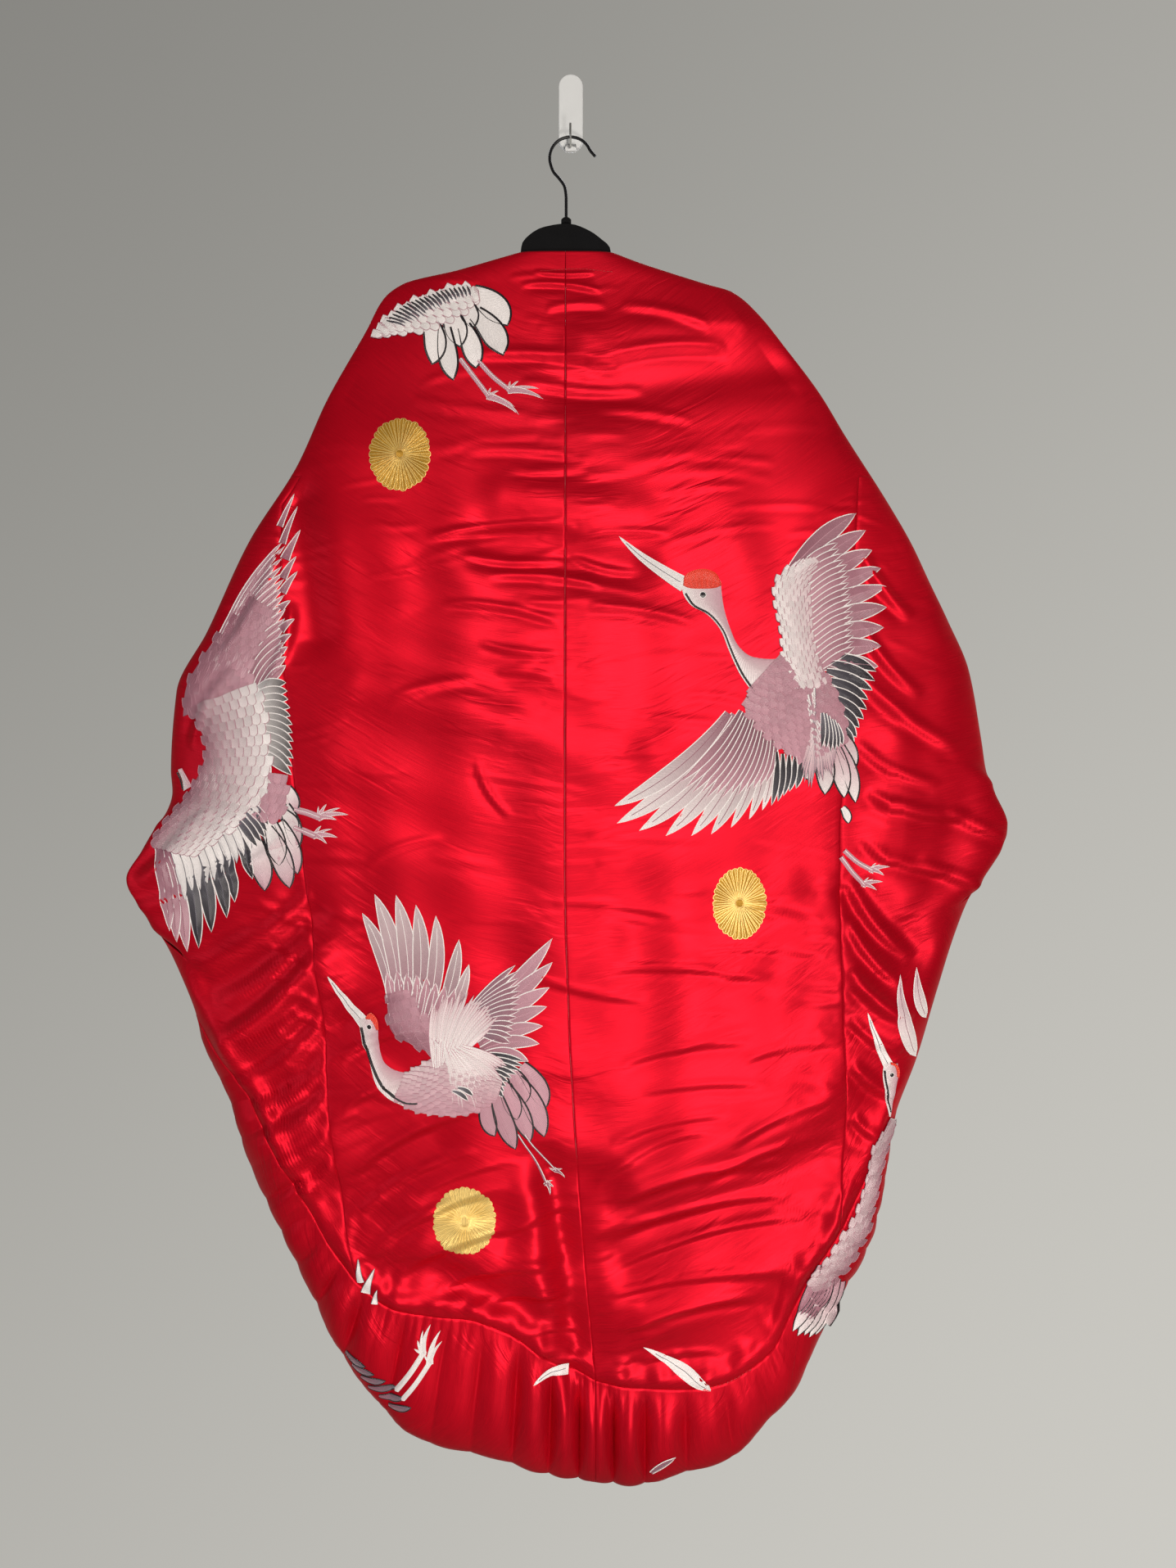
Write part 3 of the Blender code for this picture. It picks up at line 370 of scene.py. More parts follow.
# Wide soft troughs (negative) and swells, in the same columns
BACK_SWELLS = (
    (-34, -1265, 4, -1575, 5, 19, -17), (18, -1300, 56, -1575, 4, 24, 9),
    (-52, -1400, -2, -1535, 6, 20, 3.0), (-270, -1398, -70, -1440, 22, 16, 4.2),
    (-262, -1340, -80, -1400, 20, 14, 3.0), (-215, -1452, -30, -1500, 14, 12, 3.4),
    (-175, -560, -40, -700, 10, 30, 2.4), (120, -420, 250, -700, 16, 36, 2.6),
    (-250, -760, -200, -1080, 8, 30, 2.2), (60, -820, 160, -1160, 10, 40, 2.4),
    (230, -900, 250, -1240, 6, 30, -2.4), (-300, -420, -190, -640, 10, 28, 2.2),
    (-430, -760, -330, -1010, -14, 22, 3.4), (-350, -1010, -305, -1290, -8, 18, 3.0),
    (400, -700, 355, -1000, 10, 22, 3.2), (455, -800, 380, -1080, 12, 18, -3.0),
)
# The wall's side of the coat: like the back's, fewer
FRONT_CREASES = (
    (-330, -540, -190, -520, 8, 9, 1.8), (-380, -640, -230, -600, 9, 9, 2.0),
    (-420, -745, -270, -700, 10, 9, 2.2), (-440, -830, -300, -812, 8, 9, 2.0),
    (-460, -925, -330, -880, 9, 8, 2.0), (-455, -1000, -350, -950, 8, 8, 2.4),
    (-430, -1050, -370, -1010, 6, 7, 2.0), (-240, -300, -140, -285, 6, 8, 1.4),
    (-290, -410, -170, -385, 7, 8, 1.5), (190, -520, 330, -548, 8, 9, 1.8),
    (225, -600, 395, -650, 9, 9, 2.0), (262, -700, 430, -735, 10, 9, 2.0), (300, -800, 455, -830, 8, 9, 2.2),
    (330, -880, 470, -905, 8, 8, 2.0), (345, -955, 430, -990, 7, 8, 2.2),
    (350, -1040, 405, -1068, 6, 7, 2.0), (135, -290, 240, -305, 6, 8, 1.4),
    (170, -392, 290, -410, 7, 8, 1.5),
)
# Puckers along seams: seam, from height, to height, count, to the left or right of it, length
# (mm), rise over that length, depth (mm)
SEAM_PUCKERS = (
    ("left", -0.56, -0.98, 9, -1, 34, -0.30, 0.7), ("left", -0.56, -1.00, 10, 1, 46, 0.12, 0.6),
    ("left", -1.00, -1.44, 15, -1, 62, -0.42, 1.5), ("left", -1.00, -1.43, 14, 1, 66, 0.34, 1.2),
    ("right", -0.52, -0.96, 10, 1, 36, -0.20, 0.7), ("right", -0.52, -0.96, 10, -1, 40, 0.05, 0.6),
    ("right", -0.96, -1.36, 14, 1, 42, -0.30, 1.1), ("right", -0.96, -1.38, 15, -1, 60, -0.16, 1.0),
    ("centre", -0.22, -0.74, 24, -1, 52, 0.04, 0.6), ("centre", -0.22, -0.74, 24, 1, 48, -0.04, 0.5),
    ("centre", -0.74, -1.30, 16, -1, 44, 0.03, 0.3), ("centre", -0.74, -1.30, 16, 1, 50, -0.08, 0.3),
    ("centre", -1.30, -1.53, 16, -1, 50, 0.25, 1.2), ("centre", -1.30, -1.54, 16, 1, 62, 0.30, 1.2),
)
FINE_WRINKLES = 190


def crease_rows(rows):
    """A table in millimetres as an array in metres, with the depths brought to strength."""
    return np.array(rows, float) * MM * (1, 1, 1, 1, 1, CREASE_WIDTH, CREASE_DEPTH)


def seam_line(name, z):
    return {"centre": centre, "left": LEFT.seam, "right": RIGHT.seam}[name](z)


def pucker_rows():
    """Short creases that start at a seam, uneven in place, length and depth."""
    rng = np.random.default_rng(3)
    rows = []
    for name, top, bottom, count, way, length, rise, deep in SEAM_PUCKERS:
        z = np.linspace(top, bottom, count) + rng.uniform(-0.45, 0.45, count) * (bottom - top) / count
        run = length * MM * rng.uniform(0.5, 1.5, count)
        x = seam_line(name, z)
        up = run * (rise + rng.uniform(-0.12, 0.12, count))
        bow = run * rng.uniform(-0.08, 0.08, count)
        half = rng.uniform(3.2, 6.0, count) * MM
        sunk = deep * MM * rng.uniform(0.5, 1.3, count)
        rows.append(np.stack([x, z, x + way * run, z + up * way, bow, half, sunk], 1))
    return np.concatenate(rows)


def wrinkle_rows(seed):
    """Long faint wrinkles, nearly level, anywhere on the cloth."""
    rng = np.random.default_rng(seed)
    x = rng.uniform(-0.50, 0.50, FINE_WRINKLES)
    z = rng.uniform(-1.55, -0.22, FINE_WRINKLES)
    run = rng.uniform(0.04, 0.17, FINE_WRINKLES)
    tilt = rng.normal(0.06, 0.16, FINE_WRINKLES)
    bow = run * rng.uniform(-0.07, 0.07, FINE_WRINKLES)
    half = rng.uniform(3.4, 6.0, FINE_WRINKLES) * MM
    deep = rng.uniform(0.3, 0.9, FINE_WRINKLES) * MM
    return np.stack([x, z, x + run, z + run * tilt, bow, half, deep], 1)


def rim_rows(side, seed):
    """Short creases that run from the hem seam up into the body, where it is gathered in."""
    rng = np.random.default_rng(seed)
    rim = along(side.hem, 30)[2:-5]
    count = len(rim)
    run = rng.uniform(0.018, 0.052, count)
    angle = np.radians(rim[:, 2] + rng.uniform(-16, 16, count))
    x, z = rim[:, 0] + rng.uniform(-0.004, 0.004, count), rim[:, 1]
    bow = run * rng.uniform(-0.1, 0.1, count)
    half = rng.uniform(5.5, 8.5, count) * MM
    deep = rng.uniform(0.8, 1.8, count) * MM
    return np.stack([x, z, x + run * np.cos(angle), z + run * np.sin(angle), bow, half, deep], 1)


def creased(rows, x, z, trough=0.55):
    """Height of all the creases at (x, z). Along a crease s runs from 0 to 1 and it swells as
    1 - (2s - 1)**4; across it, with q the distance from its bowed line over its half width,
    the height is exp(-q**2) - trough * exp(-(q + 1.5)**2 / 1.6)."""
    x, z = np.broadcast_arrays(np.asarray(x, float), np.asarray(z, float))
    out = np.zeros(x.shape)
    wide = 4 * rows[:, 5] + np.abs(rows[:, 4])
    for k, values in ((0, x), (1, z)):
        ends = rows[:, (k, k + 2)]
        keep = (ends.min(1) - wide < values.max()) & (ends.max(1) + wide > values.min())
        rows, wide = rows[keep], wide[keep]
    for x0, z0, x1, z1, bow, half, deep in rows:
        run = math.hypot(x1 - x0, z1 - z0)
        ex, ez = (x1 - x0) / run, (z1 - z0) / run
        s = ((x - x0) * ex + (z - z0) * ez) / run
        inside = (s > 0) & (s < 1)
        if not inside.any():
            continue
        s = s[inside]
        q = (-(x[inside] - x0) * ez + (z[inside] - z0) * ex - 4 * bow * s * (1 - s)) / half
        swell = 1 - (2 * s - 1) ** 4
        out[inside] += deep * swell * (np.exp(-(q**2)) - trough * np.exp(-((q + 1.5) ** 2) / 1.6))
    return out


def seam_groove(x, z):
    """How far the cloth dips at a seam, where the stitches pull it in."""
    dip = CENTRE_DIP * np.exp(-(((x - centre(z)) / SEAM_DIP_HALF) ** 2))
    for side in (LEFT, RIGHT):
        dip = dip + np.where(z < SEAM_TOP, np.exp(-(((x - side.seam(z)) / SEAM_DIP_HALF) ** 2)), 0)
    return -SEAM_DIP * dip


def hem_roll(side, x, z):
    """How far the cloth rolls out just above the band, and dips at the band's seam. Its
    distance from the seam is taken square to the seam's own slope at that x."""
    rim = side.hem[np.argsort(side.hem[:, 0])]
    slope = np.gradient(rim[:, 1], rim[:, 0])
    away = (z - np.interp(x, rim[:, 0], rim[:, 1])) / np.sqrt(1 + np.interp(x, rim[:, 0], slope) ** 2)
    uneven = 1 + 0.35 * np.sin(x / 0.021) + 0.25 * np.sin(x / 0.0083 + 1.0)
    roll = HEM_ROLL * uneven * np.exp(-(((away - ROLL_AWAY) / ROLL_HALF) ** 2))
    return roll - HEM_DIP * np.exp(-((away / HEM_DIP_HALF) ** 2))


def soft_flutes(x, z):
    """Broad flutes that hang down the back and low waves that cross it, unlike each other."""
    hang = step((-0.30 - z) / 0.35) * (1 - 0.5 * step((-1.15 - z) / 0.30))
    wide, narrow = FLUTE_PITCHES
    wave = np.sin(2 * math.pi * (x - 0.02 * z) / wide + 0.6)
    wave = wave + 0.6 * np.sin(2 * math.pi * (x + 0.03 * z) / narrow)
    sag = np.sin((z - 0.9 * (x - 0.05) ** 2) / SAG_PITCH + 2.2 * np.sin(x / 0.09) + 1.3 * np.sin(z / 0.11))
    drift = 0.5 + 0.5 * np.sin(x / 0.047 + z / 0.071 + 1.4 * np.sin(z / 0.13))
    return FLUTE_DEPTH * wave * hang + SAG_DEPTH * sag * drift * step((-0.24 - z) / 0.10)


SWELL_ROWS = np.array(BACK_SWELLS) * MM
BACK_ROWS = np.concatenate(
    [crease_rows(BACK_CREASES), pucker_rows(), wrinkle_rows(8), rim_rows(LEFT, 5), rim_rows(RIGHT, 6)]
)
FRONT_ROWS = np.concatenate([crease_rows(FRONT_CREASES), wrinkle_rows(9)])


def cloth_point(side, x, z, front):
    """A point of the coat with its creases, which fade out at the side folds."""
    points = body_point(side, x, z, front)
    x, z = points[..., 0], points[..., 2]
    t = np.clip((x - centre(z)) / (side.fold(z) - centre(z)), 0, 1)
    fade = np.clip(np.sqrt(1 - t ** depth(z)[3]) * 1.8, 0, 1) ** 2
    if np.all(front):
        points[..., 1] += creased(FRONT_ROWS, x, z) * fade
    else:
        raised = creased(BACK_ROWS, x, z) + creased(SWELL_ROWS, x, z, 0)
        raised = raised + seam_groove(x, z) + soft_flutes(x, z) + hem_roll(side, x, z)
        points[..., 1] -= raised * fade
    return points


def back_y(x, z):
    """y of the coat's back at (x, z), both sides of the centre seam."""
    x, z = np.broadcast_arrays(x, z)
    left = cloth_point(LEFT, np.minimum(x, centre(z)), z, False)[..., 1]
    right = cloth_point(RIGHT, np.maximum(x, centre(z)), z, False)[..., 1]
    return np.where(x < centre(z), left, right)


# Columns of each part, as shares of its width, closer together at the seams and the fold
EVEN = np.linspace(0, 1, BACK_COLUMNS + 1)
BACK_SHARES = EVEN - 0.35 * np.sin(2 * math.pi * EVEN) / (2 * math.pi)
TURN_SHARES = 1 - (1 - np.linspace(0, 1, TURN_COLUMNS + 1)[1:]) ** 2
OVER_SHARES = np.linspace(0, 1, UPPER_FRONT_COLUMNS + 1)[1:] ** 2
CUFF_REACH = np.linspace(CUFF_COLUMNS / SOLID_SIDE_COLUMNS, 0, SIDE_OPEN + 1)
SIDE_SHARES = np.concatenate(
    [np.linspace(0, 1 - CUFF_REACH[0] ** 2, SIDE_COLUMNS - SIDE_OPEN + 1), 1 - CUFF_REACH[1:] ** 2]
)
FRONT_SHARES = np.linspace(0, 1, FRONT_COLUMNS + 1) ** 1.6
BAND_SHARES = np.interp(np.linspace(0, 1, BAND_ROWS + 1), (0, 0.2, 1), (0, 0.10, 1))
SHARE_SLACK, REACH_SLACK = 0.03, 0.02  # how far past a part's ends its edge is still read


# ---- Meshes ----
def grid_faces(rows, columns, left_out=None):
    """Corner numbers of the faces of a grid of points, some of them left out."""
    corner = (np.arange(rows - 1)[:, None] * columns + np.arange(columns - 1)).reshape(-1)
    faces = np.stack([corner, corner + 1, corner + columns + 1, corner + columns], 1)
    return faces if left_out is None else faces[~left_out.reshape(-1)]


def new_mesh(name, points, faces, uv=None, colour=None):
    """A mesh from arrays: points (n, 3), quads (m, 4), and a UV in millimetres and a thread
    colour for each point."""
    used = np.unique(faces)
    number = np.zeros(len(points), int)
    number[used] = np.arange(len(used))
    faces = number[faces]
    mesh = bpy.data.meshes.new(name)
    mesh.vertices.add(len(used))
    mesh.vertices.foreach_set("co", points[used].ravel())
    mesh.loops.add(faces.size)
    mesh.loops.foreach_set("vertex_index", faces.ravel())
    mesh.polygons.add(len(faces))
    mesh.polygons.foreach_set("loop_start", np.arange(0, faces.size, 4))
    mesh.update(calc_edges=True)
    if uv is not None:
        layer = mesh.uv_layers.new(name="cloth_mm")
        layer.data.foreach_set("uv", uv[used][faces.ravel()].ravel())
    if colour is not None:
        layer = mesh.attributes.new("thread", "FLOAT_COLOR", "POINT")
        layer.data.foreach_set("color", np.concatenate([colour[used], np.ones((len(used), 1))], 1).ravel())
    mesh.shade_smooth()
    return mesh


def new_piece(name, mesh, materials):
    """A finished piece that rides with the coat."""
    piece = bpy.data.objects.new(name, mesh)
    for made in materials:
        mesh.materials.append(made)
    bpy.context.scene.collection.objects.link(piece)
    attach(piece, "root")
    return piece


def arc_lengths(grid):
    """Distance along each row and down each column of a grid, in millimetres."""
    across = np.linalg.norm(np.diff(grid, axis=1, prepend=grid[:, :1]), axis=-1).cumsum(1)
    down = np.linalg.norm(np.diff(grid, axis=0, prepend=grid[:1]), axis=-1).cumsum(0)
    return np.stack([across, down], -1) / MM


def trimmed(grid, first_row=0.0, last_row=0.0, first_column=0.0, last_column=0.0):
    """Draws a grid's edges in by the given distances, along its own surface."""
    grid = grid.copy()
    for axis, end, inner, gap in (
        (0, 0, 1, first_row), (0, -1, -2, last_row), (1, 0, 1, first_column), (1, -1, -2, last_column),
    ):
        edge, beside = np.take(grid, end, axis), np.take(grid, inner, axis)
        moved = edge + unit(beside - edge) * gap
        if axis == 0:
            grid[end] = moved
        else:
            grid[:, end] = moved
    return grid


def add_cloth(node, grid, wall, turned, left_out=None, weft_down=False):
    """A shell of satin outside and lining inside, that stands for a solid of the same name.
    turned is for a grid whose columns run to the right, so that its faces point out, and
    weft_down for one whose weft runs down its columns."""
    rows, columns = grid.shape[:2]
    faces = grid_faces(rows, columns, left_out)
    mesh = new_mesh(f"{node}_cloth", grid.reshape(-1, 3), faces[:, ::-1] if turned else faces,
                    uv=arc_lengths(grid)[..., :: -1 if weft_down else 1].reshape(-1, 2))
    piece = new_piece(f"{node}_cloth", mesh, [MATERIALS["satin"], MATERIALS["lining"]])
    shell = piece.modifiers.new("wall", "SOLIDIFY")
    shell.thickness = wall
    shell.offset = 0.0
    shell.material_offset = LINING_SIDE
    shell.use_quality_normals = True
    evened = piece.modifiers.new("even_shading", "WEIGHTED_NORMAL")
    evened.keep_sharp, evened.weight = False, 90  # the broad faces count, and the cut edges hardly
    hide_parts(node)
    return piece


# ---- The panels ----
def edge_rows(side, part, shares):
    """Rows of the body's edge where the columns of a part end: x, height, direction in and
    shown width. part is back, side or front, and a share of 0 to 1 crosses it."""
    rim = side.front if part == "front" else side.hem
    x, z = rim[:, 0], rim[:, 1]
    fold, seam, mid = side.fold(z), side.seam(z), centre(z)
    if part == "back":
        across = (x - mid) / (seam - mid)
    elif part == "side":
        across = (x - seam) / (fold - seam)
    else:
        across = (x - fold) / (side.front_edge(z) - fold)
    use = (across > -SHARE_SLACK) & (across < 1 + SHARE_SLACK)
    if part == "front":
        use &= z <= FRONT_REACH + REACH_SLACK
    across = np.maximum.accumulate(across[use]) + np.arange(use.sum()) * 1e-9
    return np.stack([np.interp(shares, across, rim[use, k]) for k in range(4)], 1)


def patch(side, part, shares):
    """Points of a patch of the body whose columns run evenly from the height of the seam
    top down to their own ends on the band."""
    ends = edge_rows(side, part, shares)[:, 1]
    z = SEAM_TOP + (ends - SEAM_TOP) * np.linspace(0, 1, BODY_ROWS + 1)[:, None]
    start, end = {
        "back": (centre, side.seam), "side": (side.seam, side.fold), "front": (side.fold, side.front_edge)
    }[part]
    return cloth_point(side, start(z) + (end(z) - start(z)) * shares, z, part == "front")


def upper_rows(side):
    """Points above the seam top: back, turn over the fold, and upper front."""
    z = np.linspace(NECK_HEIGHT, SEAM_TOP, 200)
    mean = (RIGHT.fold(z) - LEFT.fold(z)) / 2
    z = along(np.stack([mean, z], 1)[::9], SHOULDER_ROWS + 1)[:, 1][:, None]
    z[0], z[-1] = NECK_HEIGHT, SEAM_TOP
    seam, fold, edge = side.seam(z), side.fold(z), side.front_edge(z)
    back = cloth_point(side, centre(z) + (seam - centre(z)) * BACK_SHARES, z + 0 * BACK_SHARES, False)
    turn = cloth_point(side, seam + (fold - seam) * TURN_SHARES, z + 0 * TURN_SHARES, False)
    front = cloth_point(side, fold + (edge - fold) * OVER_SHARES, z + 0 * OVER_SHARES, True)
    return np.concatenate([back, turn, front], 1)


def side_rows(side):
    """Points of a side panel from its seam round the fold to the front. At the cuff the
    columns beside the fold are drawn out to it, so that the open ends lie on the outline."""
    grid = np.concatenate(
        [patch(side, "side", SIDE_SHARES), patch(side, "front", FRONT_SHARES)[:, 1:]], 1
    )
    on_front = SOLID_FRONT_COLUMNS * np.arange(1, FRONT_COLUMNS + 1) / FRONT_COLUMNS
    away = np.concatenate([SOLID_SIDE_COLUMNS * np.sqrt(1 - SIDE_SHARES), on_front]) - CUFF_COLUMNS
    pull = np.interp(away, range(len(CUFF_PULL)), CUFF_PULL, right=0)
    z = grid[..., 2]
    past = np.maximum(z - side.cuff[0], side.cuff[1] - z)
    grid[..., 0] += (side.fold(z) - grid[..., 0]) * pull * (1 - step(past / CUFF_BLEND))
    return grid


def add_back_panel(side):
    """From the centre seam to the side seam. Above the side seam's top it goes on over
    the shoulder fold and makes the upper front."""
    half = SEAM_GAP / 2
    upper = trimmed(upper_rows(side), last_column=half)
    lower = trimmed(patch(side, "back", BACK_SHARES)[1:], last_column=half)
    spare = upper.shape[1] - lower.shape[1]
    lower = np.concatenate([lower, np.repeat(lower[:, -1:], spare, 1)], 1)
    grid = trimmed(np.concatenate([upper, lower], 0), last_row=half, first_column=half)
    grid[SHOULDER_ROWS, BACK_COLUMNS + 1 :, 2] += half
    left_out = np.zeros((grid.shape[0] - 1, grid.shape[1] - 1), bool)
    left_out[SHOULDER_ROWS:, BACK_COLUMNS:] = True
    return add_cloth(f"back_{side.name}", grid, CLOTH_SHELL, side.way > 0, left_out)


def add_side_panel(side):
    """From the side seam round the fold to the front edge, open at the cuff."""
    half = SEAM_GAP / 2
    grid = trimmed(side_rows(side), half, half, half, half)
    left_out = np.zeros((grid.shape[0] - 1, grid.shape[1] - 1), bool)
    tip = grid[:, SIDE_COLUMNS, 2]
    rows = (tip[1:] < side.cuff[0] + CUFF_MARGIN) & (tip[:-1] > side.cuff[1] - CUFF_MARGIN)
    left_out[rows, SIDE_COLUMNS - SIDE_OPEN : SIDE_COLUMNS + FRONT_OPEN] = True
    return add_cloth(f"side_{side.name}", grid, CLOTH_SHELL, side.way > 0, left_out)


# ---- The band ----
def band_strip(stations, inward, shown, width):
    """Carries the band's cross-section along its seam. From the seam it runs out to its
    fold, turns there and comes back in on the wall's side, until its width is used up."""
    strip = []
    for start, angle, show, wide in zip(stations, np.radians(inward), shown, width):
        way = np.array([math.cos(angle), 0.0, math.sin(angle)])
        c = show - np.linspace(0, 2 * wide + BAND_ROUND, BAND_POINTS)
        line = start + way * (np.abs(c) - abs(show))[:, None]
        middle, back_deep, front_deep, _ = depth(line[:, 2])
        rise = np.sqrt(1 - (1 - np.minimum(np.abs(c) / BAND_ROUND, 1)) ** 2)
        y = np.where(c > 0, middle - back_deep * rise, middle + front_deep * rise)
        line[:, 1] = y + (start[1] - y[0]) * (1 - step((show - c) / BAND_SETTLE))
        length = lengths(line)
        fold_at = np.interp(0, c[::-1], length[::-1]) if show > 0 else 0
        at = BAND_GAP + (max(wide, fold_at) - BAND_GAP) * BAND_SHARES
        strip.append(np.stack([np.interp(at, length, line[:, k]) for k in range(3)], 1))
    return np.array(strip).transpose(1, 0, 2)


def gathered(strip, fullness, shown):
    """Waves the strip along its seam. The large gathers are full, with narrow valleys: with a
    the way along the seam in gathers, the height goes as 2 * |sin(pi * a)|**0.7 - 1.2. They
    grow from nothing at the seam and are calmer at the fold, and between them run finer
    pleats that start at the stitches and die away towards the fold."""
    normal = unit(np.cross(np.gradient(strip, axis=1), np.gradient(strip, axis=0)))
    normal *= -np.sign(normal[0, 0, 1])  # away from the wall, on the left half as on the right
    run = lengths(strip[0])
    turns = 0.36 + run / GATHER_PITCH + 0.24 * np.sin(run / 0.071) + 0.10 * np.sin(run / 0.029)
    uneven = 0.66 + 0.34 * np.sin(run / 0.053 + 1.0)
    out = BAND_WIDTH * BAND_SHARES[:, None]
    lean = 0.10 * np.sin(run / 0.083) * out / BAND_WIDTH
    wave = 2 * np.abs(np.sin(math.pi * (turns + lean))) ** 0.7 - 1.2
    height = GATHER_DEPTH * step(out / BAND_SETTLE) * wave * uneven
    for pitch, deep, start, reach, turn in PLEATS:
        wander = run / pitch + 0.35 * np.sin(run / (pitch * 2.3) + turn)
        wander = wander + 0.012 * out / pitch * np.sin(run / 0.09)
        ridge = np.abs(np.sin(math.pi * wander)) ** 0.8 - 0.6
        strength = 0.5 + 0.5 * np.sin(run / (pitch * 3.7) + 2 * turn)
        height = height + deep * ridge * strength * step(out / start) * (1 - step((out - reach) / reach))
    calm = 1 - FOLD_CALM * np.exp(-(((out - shown) / CALM_REACH) ** 2))
    moved = normal * (height * calm * fullness)[..., None]
    moved[..., ::2] *= FOLD_WAVE * step(run / CENTRE_REACH)[:, None]  # the two halves meet at the centre
    return strip + moved


def divided(points, steps):
    """Puts steps - 1 more points on each straight run between points."""
    at = np.linspace(0, len(points) - 1, (len(points) - 1) * steps + 1)
    return np.stack([np.interp(at, range(len(points)), points[:, k]) for k in range(points.shape[1])], 1)


def add_bands(side):
    """Band from the centre seam of the hem round the side fold and up the front to the
    neck, where it is folded narrow. Its stations are the body's own edge points."""
    panel = side_rows(side)
    ends = (patch(side, "back", BACK_SHARES)[-1], panel[-1, : SIDE_COLUMNS + 1], panel[-1, SIDE_COLUMNS:])
    parts = zip(("back", "side", "front"), (BACK_SHARES, SIDE_SHARES, FRONT_SHARES), ends, BAND_STEPS)
    runs = [divided(np.hstack([end, edge_rows(side, part, shares)[:, 2:]]), steps)
            for part, shares, end, steps in parts]
    runs.append(np.vstack([panel[:-1, -1][::-1], upper_rows(side)[:-1, -1][::-1]]))
    height = runs[-1][:, 2]
    angle = np.interp(height, side.front[:, 1], side.front[:, 2])
    runs[-1] = np.hstack([runs[-1], angle[:, None], 0 * angle[:, None]])
    rim = np.vstack([runs[0], runs[1][1:], runs[2][1:], runs[3]])
    turn = len(runs[0]) + len(runs[1]) - 2
    parting = turn + len(runs[2]) - 1
    shown = rim[:, 4].copy()
    shown[turn:] = -np.abs(side.fold(rim[turn:, 2]) - rim[turn:, 0])
    shown[turn] = 0
    narrow = step((rim[:, 2] - NARROW_FROM) / NARROW_RUN)
    width = BAND_WIDTH + (BAND_NECK_WIDTH - BAND_WIDTH) * narrow
    ease = GATHER_END * BAND_FINER
    fullness = 1 - GATHER_LOSS * step((np.arange(len(rim)) - turn) / ease + LOSS_LEAD)
    strip = gathered(band_strip(rim[:, :3], rim[:, 3], shown, width), fullness, shown)
    half = SEAM_GAP / 2
    hem = trimmed(strip[:, : parting + 1], first_column=half, last_column=half)
    front = trimmed(strip[:, parting:], first_column=half)
    return [add_cloth(f"{name}_band_{side.name}", grid, BAND_SHELL, side.way > 0, weft_down=True)
            for name, grid in (("hem", hem), ("front", front))]


def add_neck_strip(node, left, right, above, bottom, inside, wall, material_name, slot):
    """A strip that lies inside the back of the neck and stands a little above its edge."""
    x = np.linspace(left, right, STRIP_COLUMNS)
    z = np.linspace(NECK_HEIGHT + above, bottom, STRIP_ROWS)[:, None]
    on_back = np.minimum(z, NECK_HEIGHT) + 0 * x
    y = back_y(x + 0 * z, on_back) + inside
    grid = np.stack([x + 0 * z, y, z + 0 * x], -1)
    piece = add_cloth(node, grid, wall, True)
    piece.data.materials.clear()
    for _ in range(2):
        piece.data.materials.append(MATERIALS[material_name])
    return piece


# ---- Materials ----
def linear(hex_colour):
    """An sRGB hex colour as linear red, green and blue."""
    v = np.array([int(hex_colour[i : i + 2], 16) / 255 for i in (1, 3, 5)])
    return tuple(float(c) for c in np.where(v <= 0.04045, v / 12.92, ((v + 0.055) / 1.055) ** 2.4))


def rgba(hex_colour):
    """An sRGB hex colour as an opaque linear one."""
    return (*linear(hex_colour), 1.0)


def add_node(tree, kind, feeds=None, **settings):
    """Adds a shader node, with its settings and what feeds its inputs: a value, or (node, output)."""
    made = tree.nodes.new(f"ShaderNode{kind}")
    for key, value in settings.items():
        setattr(made, key, value)
    for key, value in (feeds or {}).items():
        if isinstance(value, tuple) and isinstance(value[0], bpy.types.Node):
            tree.links.new(value[0].outputs[value[1]], made.inputs[key])
        else:
            made.inputs[key].default_value = value
    return made


def new_material(name, **values):
    """A material with its Principled shader's own values set, and what adds a node to it."""
    made = bpy.data.materials.new(name)
    made.use_nodes = True
    shader = made.node_tree.nodes["Principled BSDF"]
    for key, value in values.items():
        shader.inputs[key.replace("_", " ").title().replace("Ior", "IOR")].default_value = value
    return made, partial(add_node, made.node_tree)


def finished(made, colour, bump=None):
    """Joins the nodes for its colour and its bump to a material's shader."""
    tree = made.node_tree
    shader = tree.nodes["Principled BSDF"]
    tree.links.new(colour.outputs[0], shader.inputs["Base Color"])
    if bump:
        tree.links.new(bump.outputs["Normal"], shader.inputs["Normal"])
    return made


